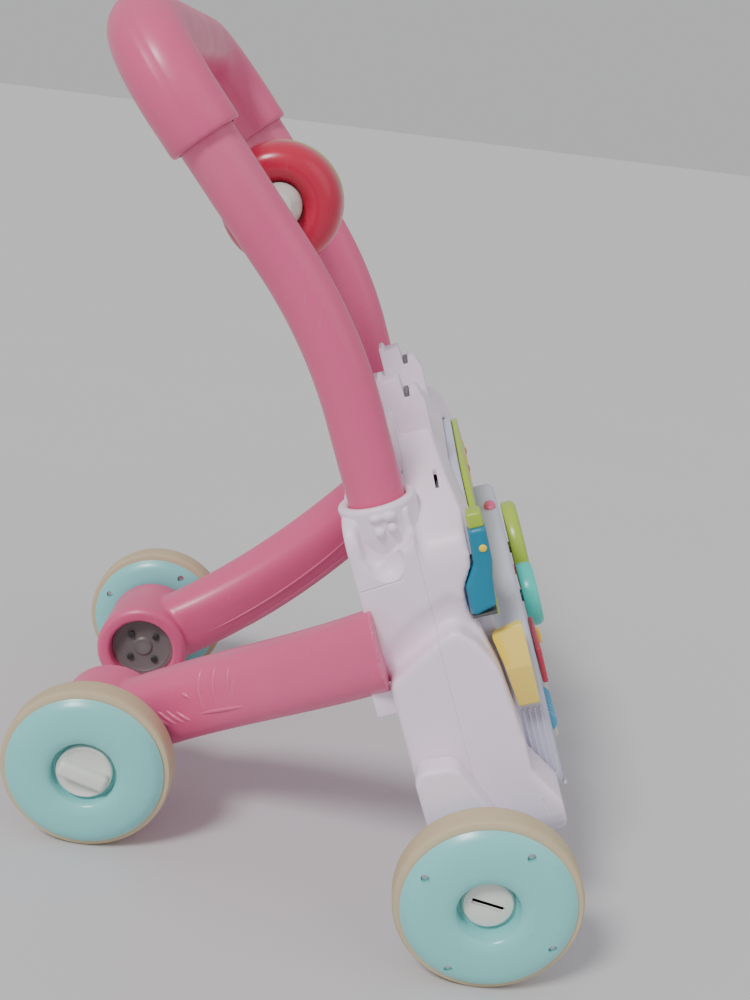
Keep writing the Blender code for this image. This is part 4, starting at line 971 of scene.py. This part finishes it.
def buildSidePieces():
    inner, outer = 0.144, 0.161
    corners = [(-inner, 0.126, 0), (-inner, 0.160, 0), (-0.151, 0.172, 0), (-0.151, 0.177, 0),
               (-outer + 0.004, 0.177, 0.002), (-outer, 0.153, 0.0025), (-outer + 0.005, 0.126, 0.003)]
    latch = asObject(prism(corners, -0.0712, -0.0500, "front", 5))
    wedge = [(-0.0712, 0.120, 0), (-0.0712, 0.1772, 0.002), (-0.0531, 0.1735, 0.002), (-0.0562, 0.1572, 0),
             (-0.0590, 0.1262, 0.002), (-0.0590, 0.120, 0)]
    carve(latch, prism(wedge, -0.2, -0.1, "side"), "INTERSECT")
    piece("panelLatchMoulded", soften(asShape(latch), 0.0009, 3, 25), looks["yellow_plastic"],
          "panel_latch", ["panel_latch"], leaning)
    bead = ball((0.0, -0.0690, 0.1970), (0.0080, 0.0040, 0.0032), 20)
    piece("panelBead", bead, looks["pink_plastic"], "panel", (), leaning)
    foot = 0.190
    top = foot + 0.050
    corners = [(-0.0600, foot + 0.004, 0.003), (-0.0455, foot, 0.003), (-0.0460, foot + 0.018, 0.006),
               (-0.0530, foot + 0.030, 0.006), (-0.0540, top, 0.003), (-0.0640, top, 0.003),
               (-0.0635, foot + 0.030, 0.005), (-0.0615, foot + 0.020, 0.006)]
    phone = soften(prism(corners, -0.167, -0.151, "side", 8), 0.0028, 4)
    piece("handsetMoulded", phone, looks["blue_plastic"], "handset", ["handset"], leaning)
    crown = soften(block((-0.1655, -0.0634, top - 0.0005), (-0.1525, -0.0546, top + 0.0085)), 0.0018, 4)
    piece("handsetTip", crown, looks["green_plastic"], "handset", (), leaning)
    # a dark strip along the foot of the handset
    footStrip = soften(block((-0.1662, -0.0597, foot - 0.0005), (-0.1518, -0.0460, foot + 0.0012)), 0.0004, 2)
    piece("handsetFootStrip", footStrip, looks["dark_plastic"], "handset", (), leaning)
    button = ball((-0.1672, -0.0600, foot + 0.0385), (0.0010, 0.0022, 0.0022), 16)
    piece("handsetButton", button, looks["yellow_plastic"], "handset", (), leaning)


buildHousing()
buildFacePieces()
buildSidePieces()
print("activity panel moulded")

kept = {"panel_back_cover": "white_plastic", "battery_door": "white_plastic", "circuit_board": "board",
        "speaker": "dark_plastic", "battery_cell_1": "dark_plastic", "battery_cell_2": "dark_plastic"}
kept.update({"%s_axle_%s" % (place, name): "steel" for place in ("front", "rear") for name, _ in sides})
for node, look in kept.items():
    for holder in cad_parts[node].material_slots:
        holder.material = looks[look]


# floor, light and camera

stage = {"floor": (0.64, 0.63, 0.64), "sky": (0.86, 0.86, 0.88), "skyStrength": 0.62,
         "lamps": (("key", (-0.75, 0.55, 1.0), 14, 2.15), ("fill", (-0.5, -0.9, 0.8), 50, 0.35))}
view = {"place": (-0.8036, -0.0190, 0.4506), "turn": (72.76, -6.82, -89.16), "lens": 45.31}


def buildStage():
    bm = bmesh.new()
    bmesh.ops.create_grid(bm, x_segments=1, y_segments=1, size=30)
    floor = asObject(bm, "floor")
    paint = bpy.data.materials.new("floorPaint")
    paint.use_nodes = True
    tree = paint.node_tree
    shader = tree.nodes["Principled BSDF"]
    shader.inputs["Roughness"].default_value = 0.55
    coordinate = tree.nodes.new("ShaderNodeTexCoord")
    texture = tree.nodes.new("ShaderNodeTexNoise")
    texture.inputs["Scale"].default_value = 3
    ramp = tree.nodes.new("ShaderNodeValToRGB")
    ramp.color_ramp.elements[0].color = (*[c * 0.96 for c in stage["floor"]], 1)
    ramp.color_ramp.elements[1].color = (*stage["floor"], 1)
    tree.links.new(coordinate.outputs["Object"], texture.inputs["Vector"])
    tree.links.new(texture.outputs["Fac"], ramp.inputs["Fac"])
    tree.links.new(ramp.outputs["Color"], shader.inputs["Base Color"])
    floor.data.materials.append(paint)
    world = bpy.data.worlds.new("studio")
    world.use_nodes = True
    background = world.node_tree.nodes["Background"]
    background.inputs["Color"].default_value = (*stage["sky"], 1)
    background.inputs["Strength"].default_value = stage["skyStrength"]
    scene.world = world
    for name, heading, angle, power in stage["lamps"]:
        lamp = bpy.data.lights.new(name, "SUN")
        lamp.angle = math.radians(angle)
        lamp.energy = power
        holder = bpy.data.objects.new(name, lamp)
        holder.rotation_euler = (-Vector(heading)).to_track_quat("-Z", "Y").to_euler()
        scene.collection.objects.link(holder)


def buildCamera():
    lens = bpy.data.cameras.new("camera")
    lens.lens = view["lens"]
    lens.sensor_width = 36
    lens.clip_start = 0.01
    holder = bpy.data.objects.new("camera", lens)
    holder.location = view["place"]
    holder.rotation_euler = [math.radians(angle) for angle in view["turn"]]
    scene.collection.objects.link(holder)
    scene.camera = holder


buildStage()
buildCamera()
print("stage set")
